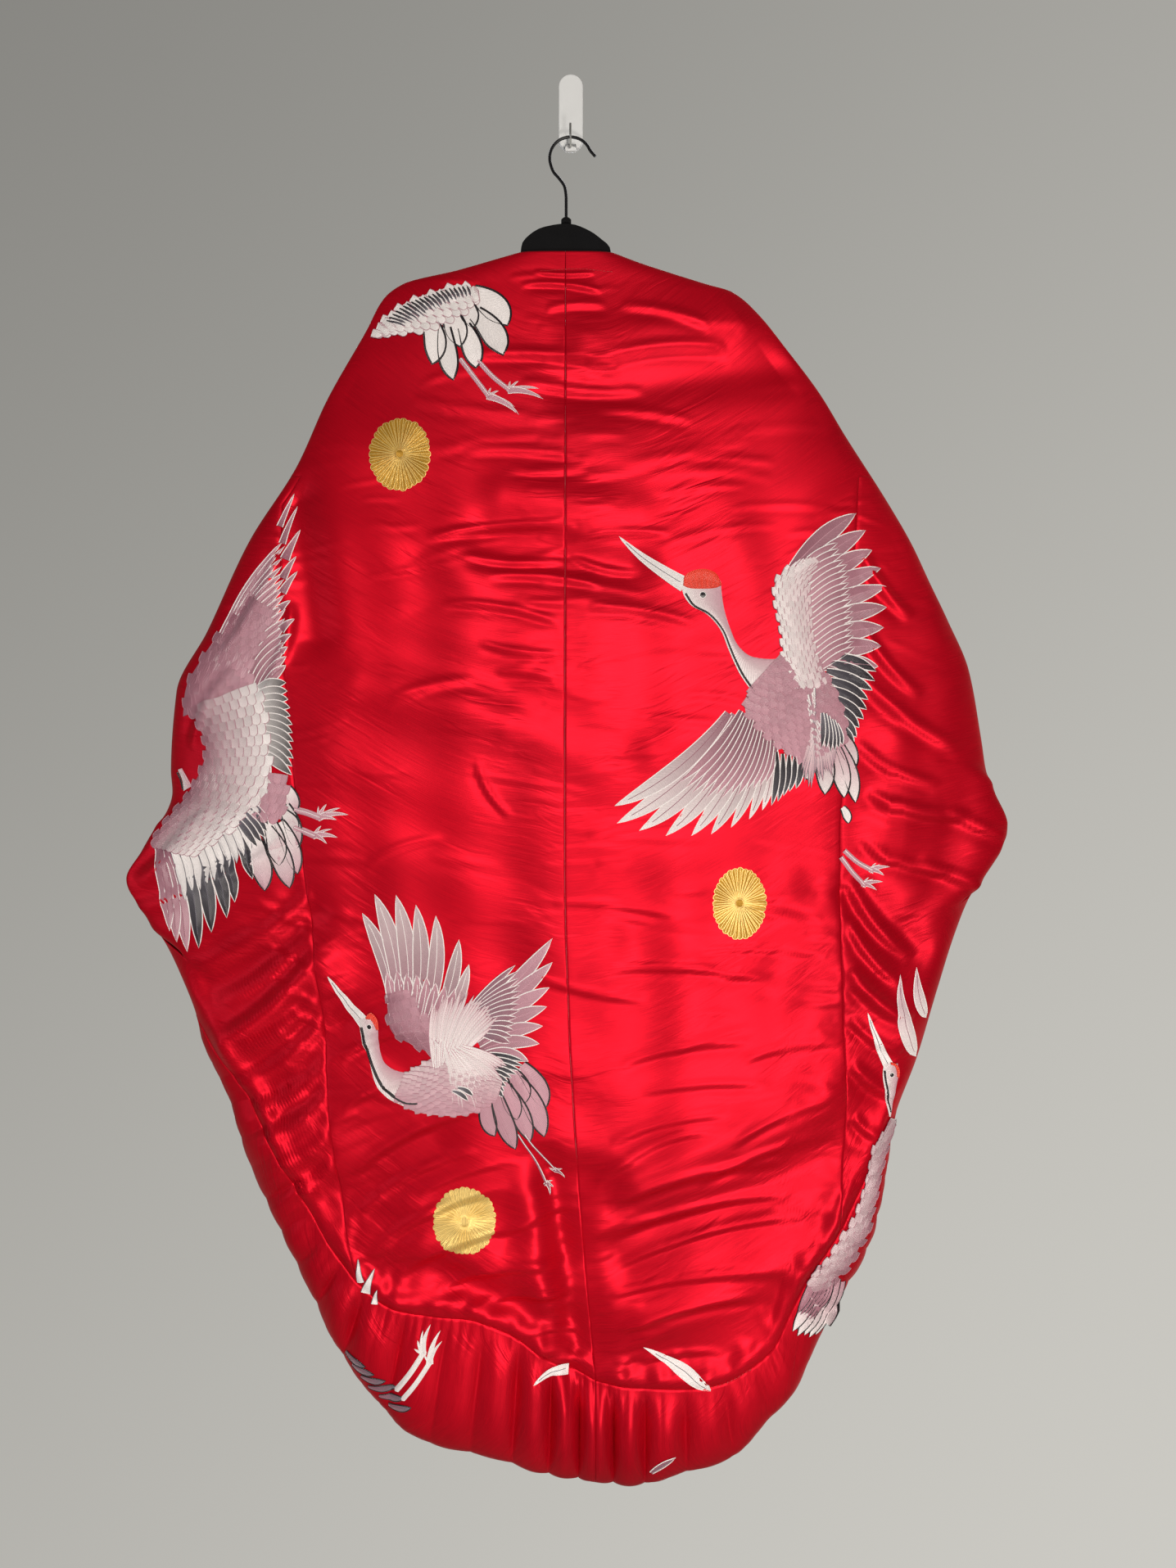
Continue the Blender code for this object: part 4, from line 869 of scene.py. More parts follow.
def bridal_satin():
    """Silk satin, woven with long weft floats: a smooth face with a soft broad gloss, faint
    slubs and small wrinkles along the weft, and a drift of shade from wear. The dye tints the
    gloss too, so a share of it is made metallic in the dye's colour."""
    coat = bpy.context.scene.coat_look
    made, node = new_material("bridal_satin", roughness=0.43, specular_ior_level=0.8, metallic=0.4,
                              specular_tint=rgba("#FF5468"))
    uv = node("UVMap", uv_map="cloth_mm")
    place = node("TexCoord")
    # slubs: 0.9 mm apart and 40 mm long; real floats are finer, too fine to see here
    stretched = node("Mapping", {"Vector": (uv, "UV"), "Scale": (1 / 40, 1 / 0.9, 1)})
    slubs = node("TexNoise", {"Vector": (stretched, "Vector"), "Scale": 1.0, "Detail": 3.0})
    drift = node("TexNoise", {"Vector": (place, "Object"), "Scale": 6.0, "Detail": 4.0})
    mixed = node("Math", {0: (slubs, "Fac"), 1: (drift, "Fac")}, operation="ADD")
    half = node("Math", {0: (mixed, "Value"), 1: 0.5}, operation="MULTIPLY")
    shade = node("ValToRGB", {"Fac": (half, "Value")})
    stops = zip(shade.color_ramp.elements, (0.36, 0.64), (coat.satin_shade, coat.satin))
    for stop, position, colour in stops:
        stop.position, stop.color = position, (*colour, 1)
    # small wrinkles: 16 mm wide and 80 mm long, in patches
    along_weft = node("Mapping", {"Vector": (uv, "UV"), "Scale": (1 / 80, 1 / 16, 1)})
    small = node("TexNoise", {"Vector": (along_weft, "Vector"), "Scale": 1.0, "Detail": 2.0,
                              "Distortion": 0.7})
    patchy = node("TexNoise", {"Vector": (uv, "UV"), "Scale": 1 / 110, "Detail": 1.0})
    amount = node("MapRange", {"Value": (patchy, "Fac"), "From Min": 0.38, "From Max": 0.68})
    creasing = node("Bump", {"Height": (small, "Fac"), "Strength": (amount, "Result"), "Distance": 0.0018})
    bump = node("Bump", {"Height": (slubs, "Fac"), "Strength": 0.22, "Distance": 0.0005,
                         "Normal": (creasing, "Normal")})
    return finished(made, shade, bump)


def plain_weave(node, pitch, light, dark):
    """Threads of a plain weave, a pitch in millimetres apart, in two shades."""
    uv = node("UVMap", uv_map="cloth_mm")
    return node("TexChecker", {"Vector": (uv, "UV"), "Scale": 1 / pitch, "Color1": rgba(light),
                               "Color2": rgba(dark)})


def red_lining():
    """Plain-weave silk lining: matt beside the satin, an even orange-red."""
    made, node = new_material("plain_silk_lining", roughness=0.62, specular_ior_level=0.25)
    # threads drawn 1.2 mm apart, where real ones are 0.1 mm
    weave = plain_weave(node, 1.2, "#B01218", "#A00F16")
    bump = node("Bump", {"Height": (weave, "Fac"), "Strength": 0.15, "Distance": 0.0003})
    return finished(made, weave, bump)


def ivory_tape():
    """Plain cotton tape, matt, with its threads just showing."""
    made, node = new_material("cotton_tape", roughness=0.8, sheen_weight=0.2)
    # threads drawn 0.8 mm apart, where real ones are 0.4 mm
    return finished(made, plain_weave(node, 0.8, "#E6E0D2", "#D8D0C0"))


def silk_floss():
    """Flat silk floss laid in satin stitch: bright along the threads, with a fine rib where
    one stitch lies beside the next. Its colour is the thread's own, from the attribute, with
    painted shade in the rib's grooves and painted highlight on its crowns."""
    made, node = new_material("silk_floss", roughness=0.34, sheen_weight=0.25, sheen_roughness=0.3)
    thread = node("Attribute", attribute_name="thread")
    uv = node("UVMap", uv_map="cloth_mm")
    parts = node("SeparateXYZ", {"Vector": (uv, "UV")})
    aside = node("Math", {0: (parts, "X")}, operation="ABSOLUTE")
    slant = node("Math", {0: (aside, "Value"), 1: -1.5, 2: (parts, "Y")}, operation="MULTIPLY_ADD")
    # stitches drawn 2.6 mm apart, where real ones are 0.5 mm
    wave = node("Math", {0: (slant, "Value"), 1: 2 * math.pi / 2.6}, operation="MULTIPLY")
    rib = node("Math", {0: (wave, "Value")}, operation="SINE")
    speck = node("TexNoise", {"Vector": (uv, "UV"), "Scale": 0.4, "Detail": 3.0})
    # painted shade and highlight: the thread's colour is darker in the rib's grooves and lighter on its
    # crowns, where the bump is high
    low = node("Math", {0: (rib, "Value"), 1: 0.09, 2: 0.78}, operation="MULTIPLY_ADD")
    tone = node("Math", {0: (speck, "Fac"), 1: 0.35, 2: (low, "Value")}, operation="MULTIPLY_ADD")
    thread_with_painted_shading = node("VectorMath", {0: (thread, "Color"), "Scale": (tone, "Value")}, operation="SCALE")
    bump = node("Bump", {"Height": (rib, "Value"), "Strength": 0.5, "Distance": 0.0004})
    return finished(made, thread_with_painted_shading, bump)


def gold_thread():
    """Gilt-wrapped thread couched in rows: a warm dull metal gloss, with painted highlight
    on the rows' crowns and painted shade between them.
    """
    made, node = new_material("gilt_thread", roughness=0.42, metallic=0.45)
    thread = node("Attribute", attribute_name="thread")
    uv = node("UVMap", uv_map="cloth_mm")
    # rows drawn 1.4 mm apart, where real ones are 0.5 mm
    rows = node("TexWave", {"Vector": (uv, "UV"), "Scale": 0.22, "Distortion": 1.2}, bands_direction="X")
    # painted highlight and shade: the colour is lighter on the rows' crowns and darker between them, where
    # the bump is low
    tone = node("Math", {0: (rows, "Fac"), 1: 0.45, 2: 0.66}, operation="MULTIPLY_ADD")
    thread_with_painted_shading = node("VectorMath", {0: (thread, "Color"), "Scale": (tone, "Value")}, operation="SCALE")
    bump = node("Bump", {"Height": (rows, "Fac"), "Strength": 0.6, "Distance": 0.0005})
    return finished(made, thread_with_painted_shading, bump)


def mottled(node, place, scale, detail, first, second):
    """Noise with scale cells to the metre, and two tones that drift into each other by it."""
    noise = node("TexNoise", {"Vector": (place, "Object"), "Scale": scale, "Detail": detail})
    return noise, node("MixRGB", {"Fac": (noise, "Fac"), "Color1": rgba(first), "Color2": rgba(second)})


def black_flock():
    """Flocked plastic: very short nylon pile, dead black with a pale bloom at grazing angles
    and worn a little thin in patches."""
    made, node = new_material("nylon_flock", roughness=0.95, specular_ior_level=0.2, sheen_weight=0.25,
                              sheen_roughness=0.45, sheen_tint=rgba("#6A6A6E"))
    place = node("TexCoord")
    _, tone = mottled(node, place, 45.0, 3.0, "#070708", "#111113")
    # pile drawn in 1.4 mm tufts
    pile = node("TexNoise", {"Vector": (place, "Object"), "Scale": 700.0, "Detail": 2.0})
    bump = node("Bump", {"Height": (pile, "Fac"), "Strength": 0.5, "Distance": 0.0008})
    return finished(made, tone, bump)


def enamelled_wire():
    """Steel wire with black stove enamel: smooth, half gloss, with faint orange peel."""
    made, node = new_material("black_enamel", roughness=0.3)
    # peel in cells of 2.6 mm
    peel, tone = mottled(node, node("TexCoord"), 380.0, 1.0, "#0E0E10", "#1A1A1D")
    bump = node("Bump", {"Height": (peel, "Fac"), "Strength": 0.12, "Distance": 0.0003})
    return finished(made, tone, bump)


def white_abs():
    """Moulded white ABS with a satin face and a little handling grime."""
    made, node = new_material("moulded_abs", roughness=0.5)
    place = node("TexCoord")
    _, tone = mottled(node, place, 30.0, 4.0, "#DFE2E3", "#D3D6D7")
    # grain of the mould drawn 1.1 mm wide
    grain = node("TexNoise", {"Vector": (place, "Object"), "Scale": 900.0, "Detail": 1.0})
    bump = node("Bump", {"Height": (grain, "Fac"), "Strength": 0.1, "Distance": 0.0002})
    return finished(made, tone, bump)


def drawn_steel():
    """Bright drawn steel wire: a clean metal gloss with fine scratches along it."""
    made, node = new_material("drawn_steel", roughness=0.4, metallic=1.0)
    place = node("TexCoord")
    # scratches 0.4 mm apart and 17 mm long
    drawn = node("Mapping", {"Vector": (place, "Object"), "Scale": (2500, 60, 2500)})
    lines = node("TexNoise", {"Vector": (drawn, "Vector"), "Scale": 1.0, "Detail": 2.0})
    tone = node("MixRGB", {"Fac": (lines, "Fac"), "Color1": rgba("#B9B9B6"), "Color2": rgba("#D6D6D2")})
    return finished(made, tone)


def studio_floor():
    """Plain pale floor with a barely mottled finish."""
    made, node = new_material("pale_floor", roughness=0.7)
    _, tone = mottled(node, node("TexCoord"), 3.0, 3.0, "#8F8E8A", "#86857F")
    return finished(made, tone)


# ---- Embroidery ----
SILVER, BLUSH, MAUVE, GREY, BLACK, CROWN = (
    np.array(linear(c)) for c in ("#EFE9E8", "#C493A0", "#94606F", "#6A6670", "#1B161B", "#E8402C")
)
OCHRE, GOLD, PALE_GOLD = (np.array(linear(c)) for c in ("#A8711F", "#D9A233", "#F0CE7A"))
PEARL, ROSE = 0.5 * (SILVER + BLUSH), 0.5 * (MAUVE + BLUSH)
SCALE_OVERHANG = 0.55  # share of a short rounded feather beyond its middle
MOTIF_SCALE = 0.98  # by which the motifs, laid out a little large, are brought to size
FALL_FROM = -0.5  # y well in front of the coat
SLOPE_REACH = 0.0015  # how far beside a point the cloth's slope is read
STEEPEST = 1.6  # slope of cloth beyond which threads aren't tilted further
SEAM_STEP = 0.006  # a point that lands this much deeper than its neighbours fell through a seam


def spline(points, count):
    """A smooth curve through the points, as evenly spaced points: cubic Hermite spans."""
    p = np.asarray(points, float)
    knot = lengths(p)
    slope = np.gradient(p, knot, axis=0)
    t = np.linspace(0, knot[-1], count)
    i = np.clip(np.searchsorted(knot, t, side="right") - 1, 0, len(p) - 2)
    h = (knot[i + 1] - knot[i])[:, None]
    s = (t - knot[i])[:, None] / h
    return ((1 + 2 * s) * (1 - s) ** 2 * p[i] + s * (1 - s) ** 2 * h * slope[i]
            + s * s * (3 - 2 * s) * p[i + 1] + s * s * (s - 1) * h * slope[i + 1])


def left_of(way):
    """Vectors turned a quarter to the left."""
    return np.stack([-way[..., 1], way[..., 0]], -1)


# Half width of a feather at a share t of its length, as a share of its full width
OUTLINES = {
    "leaf": lambda t: (0.20 + 0.62 * t) * (1 - t**2.6),
    "broad": lambda t: (0.36 + 0.52 * t) * (1 - t**3.2) ** 0.9,
    "spike": lambda t: 0.5 * (1 - t) ** 0.8,
    "sliver": lambda t: 0.5 * np.sin(math.pi * t**0.6),
    "scale": lambda t: 0.5 * np.sqrt(np.maximum(1 - (1.35 * t - 0.35) ** 4, 0)),
    "petal": lambda t: 0.5 * (0.16 + 0.84 * t) * np.sqrt(1 - np.clip((t - 0.88) / 0.12, 0, 1) ** 2),
}


class Needlework:
    """The threads of one motif, as grids of points in millimetres from its middle, x to the
    right and up, each with its lift off the cloth, its colour and the way its stitches run."""

    def __init__(self):
        self.sheets = []
        self.random = np.random.default_rng(4)

    def lay(self, points, lift, colour, uv):
        """Adds grids of points (..., rows, columns, 2)."""
        shape = points.shape[:-1]
        rows, columns = shape[-2:]
        first = np.arange(points.size // (2 * rows * columns))[:, None, None] * rows * columns
        self.sheets.append((
            points.reshape(-1, 2),
            np.broadcast_to(lift, shape).reshape(-1),
            np.broadcast_to(colour, (*shape, 3)).reshape(-1, 3),
            np.broadcast_to(uv, (*shape, 2)).reshape(-1, 2),
            (grid_faces(rows, columns) + first).reshape(-1, 4),
        ))

    def threads(self, curves, width, colour, lift):
        """Threads couched along curves (..., points, 2), raised in the middle."""
        curves = np.asarray(curves, float)
        side = left_of(unit(np.gradient(curves, axis=-2)))
        s = np.array([-1.0, 0.0, 1.0])
        points = curves[..., None, :] + side[..., None, :] * (s * width / 2)[:, None]
        run = np.linalg.norm(np.diff(curves, axis=-2, prepend=curves[..., :1, :]), axis=-1).cumsum(-1)
        uv = np.stack(np.broadcast_arrays(s * width / 2, run[..., None]), -1)
        self.lay(points, np.asarray(lift)[..., None] + 0.42 * width * (1 - s**2), colour, uv)

    def blades(self, roots, tips, width, bend, near, far, lift, rows, tilt=0.25, crown=0.45,
               outline="leaf", edge=SILVER, edge_width=None, shaft=None):
        """Feathers in satin stitch from roots to tips. At a share t of its length L a feather's
        middle stands 4 * bend * L * t * (1 - t) aside, and each one tilts over the next."""
        roots, tips = np.atleast_2d(roots).astype(float), np.atleast_2d(tips).astype(float)
        count = len(tips)
        roots = np.broadcast_to(roots, tips.shape)
        width, bend = (np.broadcast_to(v, count)[:, None] for v in (width, bend))
        t = np.linspace(0, 1, rows)
        if outline in ("scale", "petal"):
            t = np.sin(np.linspace(0, math.pi / 2, rows))  # closer together at the round tip
        long = np.linalg.norm(tips - roots, axis=1)[:, None]
        aside = left_of(unit(tips - roots))[:, None]
        bowed = aside * (4 * bend * long * t * (1 - t))[..., None]
        middle = roots[:, None] + (tips - roots)[:, None] * t[:, None] + bowed
        half = width * OUTLINES[outline](t)
        side = left_of(unit(np.gradient(middle, axis=1)))
        s = np.linspace(-1, 1, 5)
        points = middle[:, :, None] + side[:, :, None] * (half[..., None] * s)[..., None]
        lift = np.broadcast_to(lift, count)[:, None]
        rise = lift[..., None] + tilt * s + crown * (1 - s**2) - 0.35 * t[:, None] ** 4
        tone = self.random.uniform(0.9, 1.06, count)[:, None, None, None]
        near, far = (np.broadcast_to(c, (count, 3))[:, None, None] for c in (near, far))
        # painted highlight and shade: each feather is lighter along its raised middle and up to 8 % darker
        # towards its edges
        colour = (near + (far - near) * (t**1.2)[:, None, None]) * tone * (0.92 + 0.08 * (1 - s**2))[:, None]
        uv = np.stack(np.broadcast_arrays(half[..., None] * s, (t * long)[..., None]), -1)
        self.lay(points, rise, colour, uv)
        edge_width = outline_width() if edge_width is None else edge_width
        if edge_width:
            round_it = np.concatenate([points[:, :, 0], points[:, -2::-1, -1]], 1)
            self.threads(round_it, edge_width, edge, np.concatenate([rise[:, :, 0], rise[:, -2::-1, -1]], 1))
        if shaft is not None:
            line = middle[:, 1:-2]
            self.threads(line, 0.8, shaft, np.broadcast_to(lift + crown, line.shape[:-1]))

    def fan(self, root_line, tip_line, count, width, bend, near, far, ragged=0.03, **settings):
        """Feathers spread evenly between a line of roots and a line of tips."""
        roots, tips = spline(root_line, count), spline(tip_line, count)
        jitter = self.random.uniform(-ragged, ragged, (2, count, 1))
        roots, tips = roots + (tips - roots) * (jitter[0] - ragged), tips + (tips - roots) * jitter[1]
        self.blades(roots, tips, width, bend, near, far, **settings)

    def plumage(self, first, second, near, far, lift, crown=0.9, rows=0, columns=0, size=0, turn=0):
        """Plumage between two edges, which lie down on the cloth, and on it short rounded
        feathers in staggered rows, unless rows is 0. Each points along the edges, turned by
        turn degrees."""
        a, b = spline(first, 40), spline(second, 40)
        v = np.linspace(0, 1, 14)
        points = a[:, None] + (b - a)[:, None] * v[:, None]
        near, far = np.asarray(near), np.asarray(far)
        run = np.linalg.norm(np.diff(points, axis=0, prepend=points[:1]), axis=-1).cumsum(0)
        wide = np.linalg.norm(b - a, axis=1)[:, None] * (v - 0.5)
        self.lay(points, lift + crown * np.sqrt(4 * v * (1 - v)), near + (far - near) * v[:, None],
                 np.stack([wide, run], -1))
        if not rows:
            return
        a, b = spline(first, rows), spline(second, rows)
        v = (np.arange(columns) + 0.5) / columns
        v = v + np.where(np.arange(rows) % 2, 0.25, -0.25)[:, None] / columns
        at = (a[:, None] + (b - a)[:, None] * v[..., None]).reshape(-1, 2)
        way = np.repeat(unit(np.gradient((a + b) / 2, axis=0)), columns, 0)
        c, s = math.cos(math.radians(turn)), math.sin(math.radians(turn))
        way = way @ np.array([[c, s], [-s, c]])
        v = v.reshape(-1, 1)
        colour = near + (far - near) * v
        on_crown = (lift + crown * np.sqrt(4 * v * (1 - v)))[:, 0] + 0.15
        self.blades(at - way * size * 0.5, at + way * size * SCALE_OVERHANG, size * 0.95, 0.0, colour * 0.94,
                    colour * 1.04, lift=on_crown, tilt=0.06, crown=0.3, outline="scale", edge=ROSE,
                    edge_width=0.85, rows=7)

    def leg(self, points, width, colour, claws):
        """A shank from the tail to the foot, and claws given by length and direction."""
        line = spline(points, 12)
        self.threads(line, width, colour, 0.4)
        self.threads(line + np.array([0.4, 0.4]), 0.9, SILVER, 0.4 + 0.4 * width)
        foot = np.asarray(points[-1], float)
        for long, degrees, wide in claws:
            way = np.array([math.cos(math.radians(degrees)), math.sin(math.radians(degrees))])
            self.blades([foot - way * 3], [foot + way * long], wide, 0.08, colour, colour, outline="spike",
                        lift=0.5, edge_width=0.8, rows=8)

    def piece(self, name, x, z, size, laid, material="floss"):
        """Drapes the motif with its middle at (x, z) millimetres, and makes one piece of it."""
        points, lift, colour, uv, faces = zip(*self.sheets)
        start = np.cumsum([0] + [len(p) for p in points[:-1]])
        faces = np.concatenate([f + s for f, s in zip(faces, start)])
        flat = np.concatenate(points) * size + (x, z)
        a, b, c, d = (flat[faces[:, k]] for k in range(4))
        turn = np.cross(c - a, d - b)
        faces = np.where(turn[:, None] > 0, faces, faces[:, ::-1])
        draped = laid(flat[:, 0] * MM, flat[:, 1] * MM, np.concatenate(lift) * MM)
        mesh = new_mesh(name, draped, faces, uv=np.concatenate(uv), colour=np.concatenate(colour))
        return new_piece(name, mesh, [MATERIALS[material]])


def outline_width():
    """Width in millimetres of the thread couched round a feather."""
    return bpy.context.scene.coat_look.outline / MM


def landed(x, z, cloths):
    """y where points (x, z) that fall along +y land. A Shrinkwrap modifier drops them on to
    each cloth in turn and the landing nearest to the viewer counts. A point that misses
    every cloth gets the coat's own form."""
    mesh = bpy.data.meshes.new("falling")
    mesh.vertices.add(x.size)
    mesh.vertices.foreach_set("co", np.stack([x, np.full(x.size, FALL_FROM), z], -1).ravel())
    falling = bpy.data.objects.new("falling", mesh)
    bpy.context.scene.collection.objects.link(falling)
    drop = falling.modifiers.new("drop", "SHRINKWRAP")
    drop.wrap_method, drop.use_project_y = "PROJECT", True
    y, place = np.full(x.size, np.inf), np.empty(x.size * 3)
    for cloth in cloths:
        drop.target = cloth
        bpy.context.view_layer.update()
        falling.evaluated_get(bpy.context.evaluated_depsgraph_get()).data.vertices.foreach_get("co", place)
        y = np.where(place[1::3] > FALL_FROM + 1e-6, np.minimum(y, place[1::3]), y)
    bpy.data.objects.remove(falling)
    bpy.data.meshes.remove(mesh)
    missed = np.isinf(y)
    if missed.any():
        y[missed] = back_y(x[missed], z[missed])
    return y


def laid_on(*names):
    """Drapes on the outer side of the cloths named, lifted along their normal (y_x, -1, y_z)."""
    cloths = [bpy.data.objects[f"{name}_cloth"] for name in names]
    near = SLOPE_REACH

    def laid(x, z, lift):
        beside = np.concatenate([x, x + near, x - near, x, x])
        y = landed(beside, np.concatenate([z, z, z, z + near, z - near]), cloths)
        y, right, left, above, below = y.reshape(5, -1)
        nearest = np.minimum(np.minimum(right, left), np.minimum(above, below))
        y = np.where(y > nearest + SEAM_STEP, nearest, y)
        slopes = np.clip(np.stack([right - left, above - below], -1) / (2 * near), -STEEPEST, STEEPEST)
        normal = unit(np.stack([slopes[:, 0], -np.ones_like(y), slopes[:, 1]], -1))
        return np.stack([x, y, z], -1) + normal * lift[:, None]

    return laid


# Claws of a foot: length, direction in degrees, width
FOOT = ((22, 10, 6.5), (10, 62, 4), (16, -24, 5.5), (12, 34, 3.5), (9, 140, 4))
TAIL_EDGE = {"edge": BLACK, "lift": 0.9, "rows": 15, "outline": "broad"}


def add_eye(w, x, z, size):
    """A round black eye in a pale ring."""
    turn = np.linspace(0, 2 * math.pi, 15)
    ring = np.stack([np.cos(turn), np.sin(turn)], -1)
    share = np.array([0.0, 0.6, 1.0])[:, None, None]
    w.lay((x, z) + ring * share * size, 2.9 - 0.5 * share[..., 0] ** 2, BLACK, ring * share)
    w.threads((x, z) + ring * (size + 0.5), 0.9, SILVER, 2.3)


def add_head(w, front, back, line, line_width, cap, beak, beak_width, eye, eye_size):
    """Neck between two edges with a black stripe on it, red cap, beak and eye. cap gives the
    cap's upper and lower edge."""
    w.plumage(front, back, SILVER * 0.92, BLUSH, lift=0.7, crown=1.4)
    w.threads(spline(line, 40), line_width, BLACK, 1.6)
    w.plumage(cap[0], cap[1], CROWN, CROWN * 0.8, lift=1.6, crown=1.0)
    top, low = (spline(edge, 9)[1:-1] for edge in cap)
    w.threads(top[:, None] + (low - top)[:, None] * np.linspace(0.1, 0.9, 6)[:, None], 1.5, CROWN * 1.1, 2.5)
    w.blades([beak[0]], [beak[1]], beak_width, 0.03, SILVER, SILVER, outline="spike", lift=0.8, shaft=GREY,
             rows=18)
    add_eye(w, *eye, eye_size)


def crane_flying_left():
    """Crane on the right of the back: head up to the left, one wing raised over the side
    seam and one swept down to the left."""
    w = Needlework()
    # raised wing, from its long feathers to the scales of its arm
    w.fan([(6, 184), (24, 160), (30, 125), (34, 95), (40, 66)],
          [(88, 256), (104, 218), (119, 184), (121, 152), (121, 118), (112, 86), (110, 66)],
          9, 26, 0.04, MAUVE, ROSE, lift=0.5, shaft=BLUSH, rows=17)
    w.fan([(52, 80), (50, 50), (56, 20), (60, -4)], [(109, 60), (103, 36), (95, 10), (86, -14), (80, -32)],
          9, 15, 0.05, GREY * 0.6, BLACK, lift=0.8, rows=14)
    w.fan([(16, 188), (26, 160), (28, 130), (30, 100), (36, 60)],
          [(64, 218), (76, 188), (80, 156), (82, 124), (84, 90)], 19, 10, 0.03, BLUSH, MAUVE, lift=1.2,
          rows=12)
    # lowered wing
    w.blades([(-72, 8), (-64, 6), (-58, 2), (-52, 0), (-46, -4), (-40, -6), (-34, -8), (-28, -12),
              (-22, -14)],
             [(-210, -104), (-207, -125), (-180, -134), (-148, -140), (-117, -140), (-93, -138), (-69, -130),
              (-47, -120), (-31, -109)], [24, 26, 26, 25, 23, 21, 17, 15, 13], 0.07, MAUVE, SILVER, lift=0.5,
             shaft=MAUVE, rows=21)
    w.fan([(-60, 8), (-44, 2), (-30, -8), (-16, -16)],
          [(-132, -76), (-106, -92), (-76, -92), (-44, -84), (-26, -74)], 13, 11, 0.05, 0.6 * MAUVE, BLUSH,
          lift=1.1, rows=14)
    w.fan([(-14, -40), (-4, -42), (6, -44), (16, -46)], [(-20, -104), (-10, -97), (-1, -88), (10, -82)],
          5, 9, 0.05, BLACK, GREY * 0.5, lift=1.5, rows=12)
    # tail, outlined in black
    w.blades([(40, -22), (50, -22), (58, -12), (62, -30), (34, -28)],
             [(44, -90), (68, -94), (80, -60), (82, -100), (23, -72)], [20, 20, 18, 16, 17],
             [0.04, 0.05, 0.08, 0.05, -0.05], BLUSH, SILVER, edge_width=2.2, **TAIL_EDGE)
    w.blades([(66, -106)], [(73, -125)], 9, 0.1, SILVER, SILVER, edge_width=1.8, **TAIL_EDGE)
    # body, and the scales of the raised wing's arm
    w.plumage([(-44, 34), (-52, 12), (-36, -12), (-18, -28), (4, -42), (20, -54)],
              [(-5, 76), (32, 76), (50, 50), (62, 22), (70, 0), (70, -22)], BLUSH, 0.6 * BLUSH + 0.4 * MAUVE,
              lift=1.3, crown=1.2, rows=16, columns=9, size=11, turn=6)
    w.plumage([(15, 190), (-3, 181), (-14, 166), (-14, 148), (-6, 107), (-4, 72), (4, 40)],
              [(36, 194), (28, 178), (26, 163), (28, 133), (29, 104), (35, 75), (44, 45)],
              SILVER, PEARL, lift=1.4, crown=1.2, rows=22, columns=5, size=11)
    # a fan of white feathers: partly the crane's own white plumage, partly a painted highlight of a silvery
    # streak at a fold
    w.fan([(30, 24), (24, 6), (32, -6), (46, 0)], [(16, -62), (26, -74), (44, -70), (58, -46)], 19, 7, 0.03,
          SILVER, BLUSH, lift=2.4, ragged=0.12, edge=GREY, edge_width=0.7, rows=12)
    w.fan([(40, 8), (50, 2), (58, -4)], [(40, -34), (54, -38), (66, -30)], 6, 8, 0.03, GREY, BLACK, lift=2.9,
          rows=10)
    front = [(-128, 168), (-126, 155), (-117, 141), (-98, 130), (-82, 112), (-70, 84), (-57, 55), (-43, 34)]
    add_head(w, front,
             [(-80, 170), (-79, 157), (-77, 140), (-69, 112), (-59, 91), (-46, 79), (-28, 75), (-5, 75)],
             [(x + 3, z) for x, z in front[1:]], 2.6,
             ([(-126, 166), (-124, 177), (-112, 184), (-97, 185), (-86, 180), (-79, 167)],
              [(-126, 165), (-118, 161), (-108, 159), (-98, 159), (-88, 161), (-79, 165)]),
             ((-124, 166), (-204, 226)), 18, (-102, 153), 3.4)
    w.leg([(68, -158), (84, -172), (102, -182)], 6, BLUSH, FOOT)
    w.leg([(64, -166), (78, -184), (94, -200)], 6, BLUSH, FOOT)
    return w


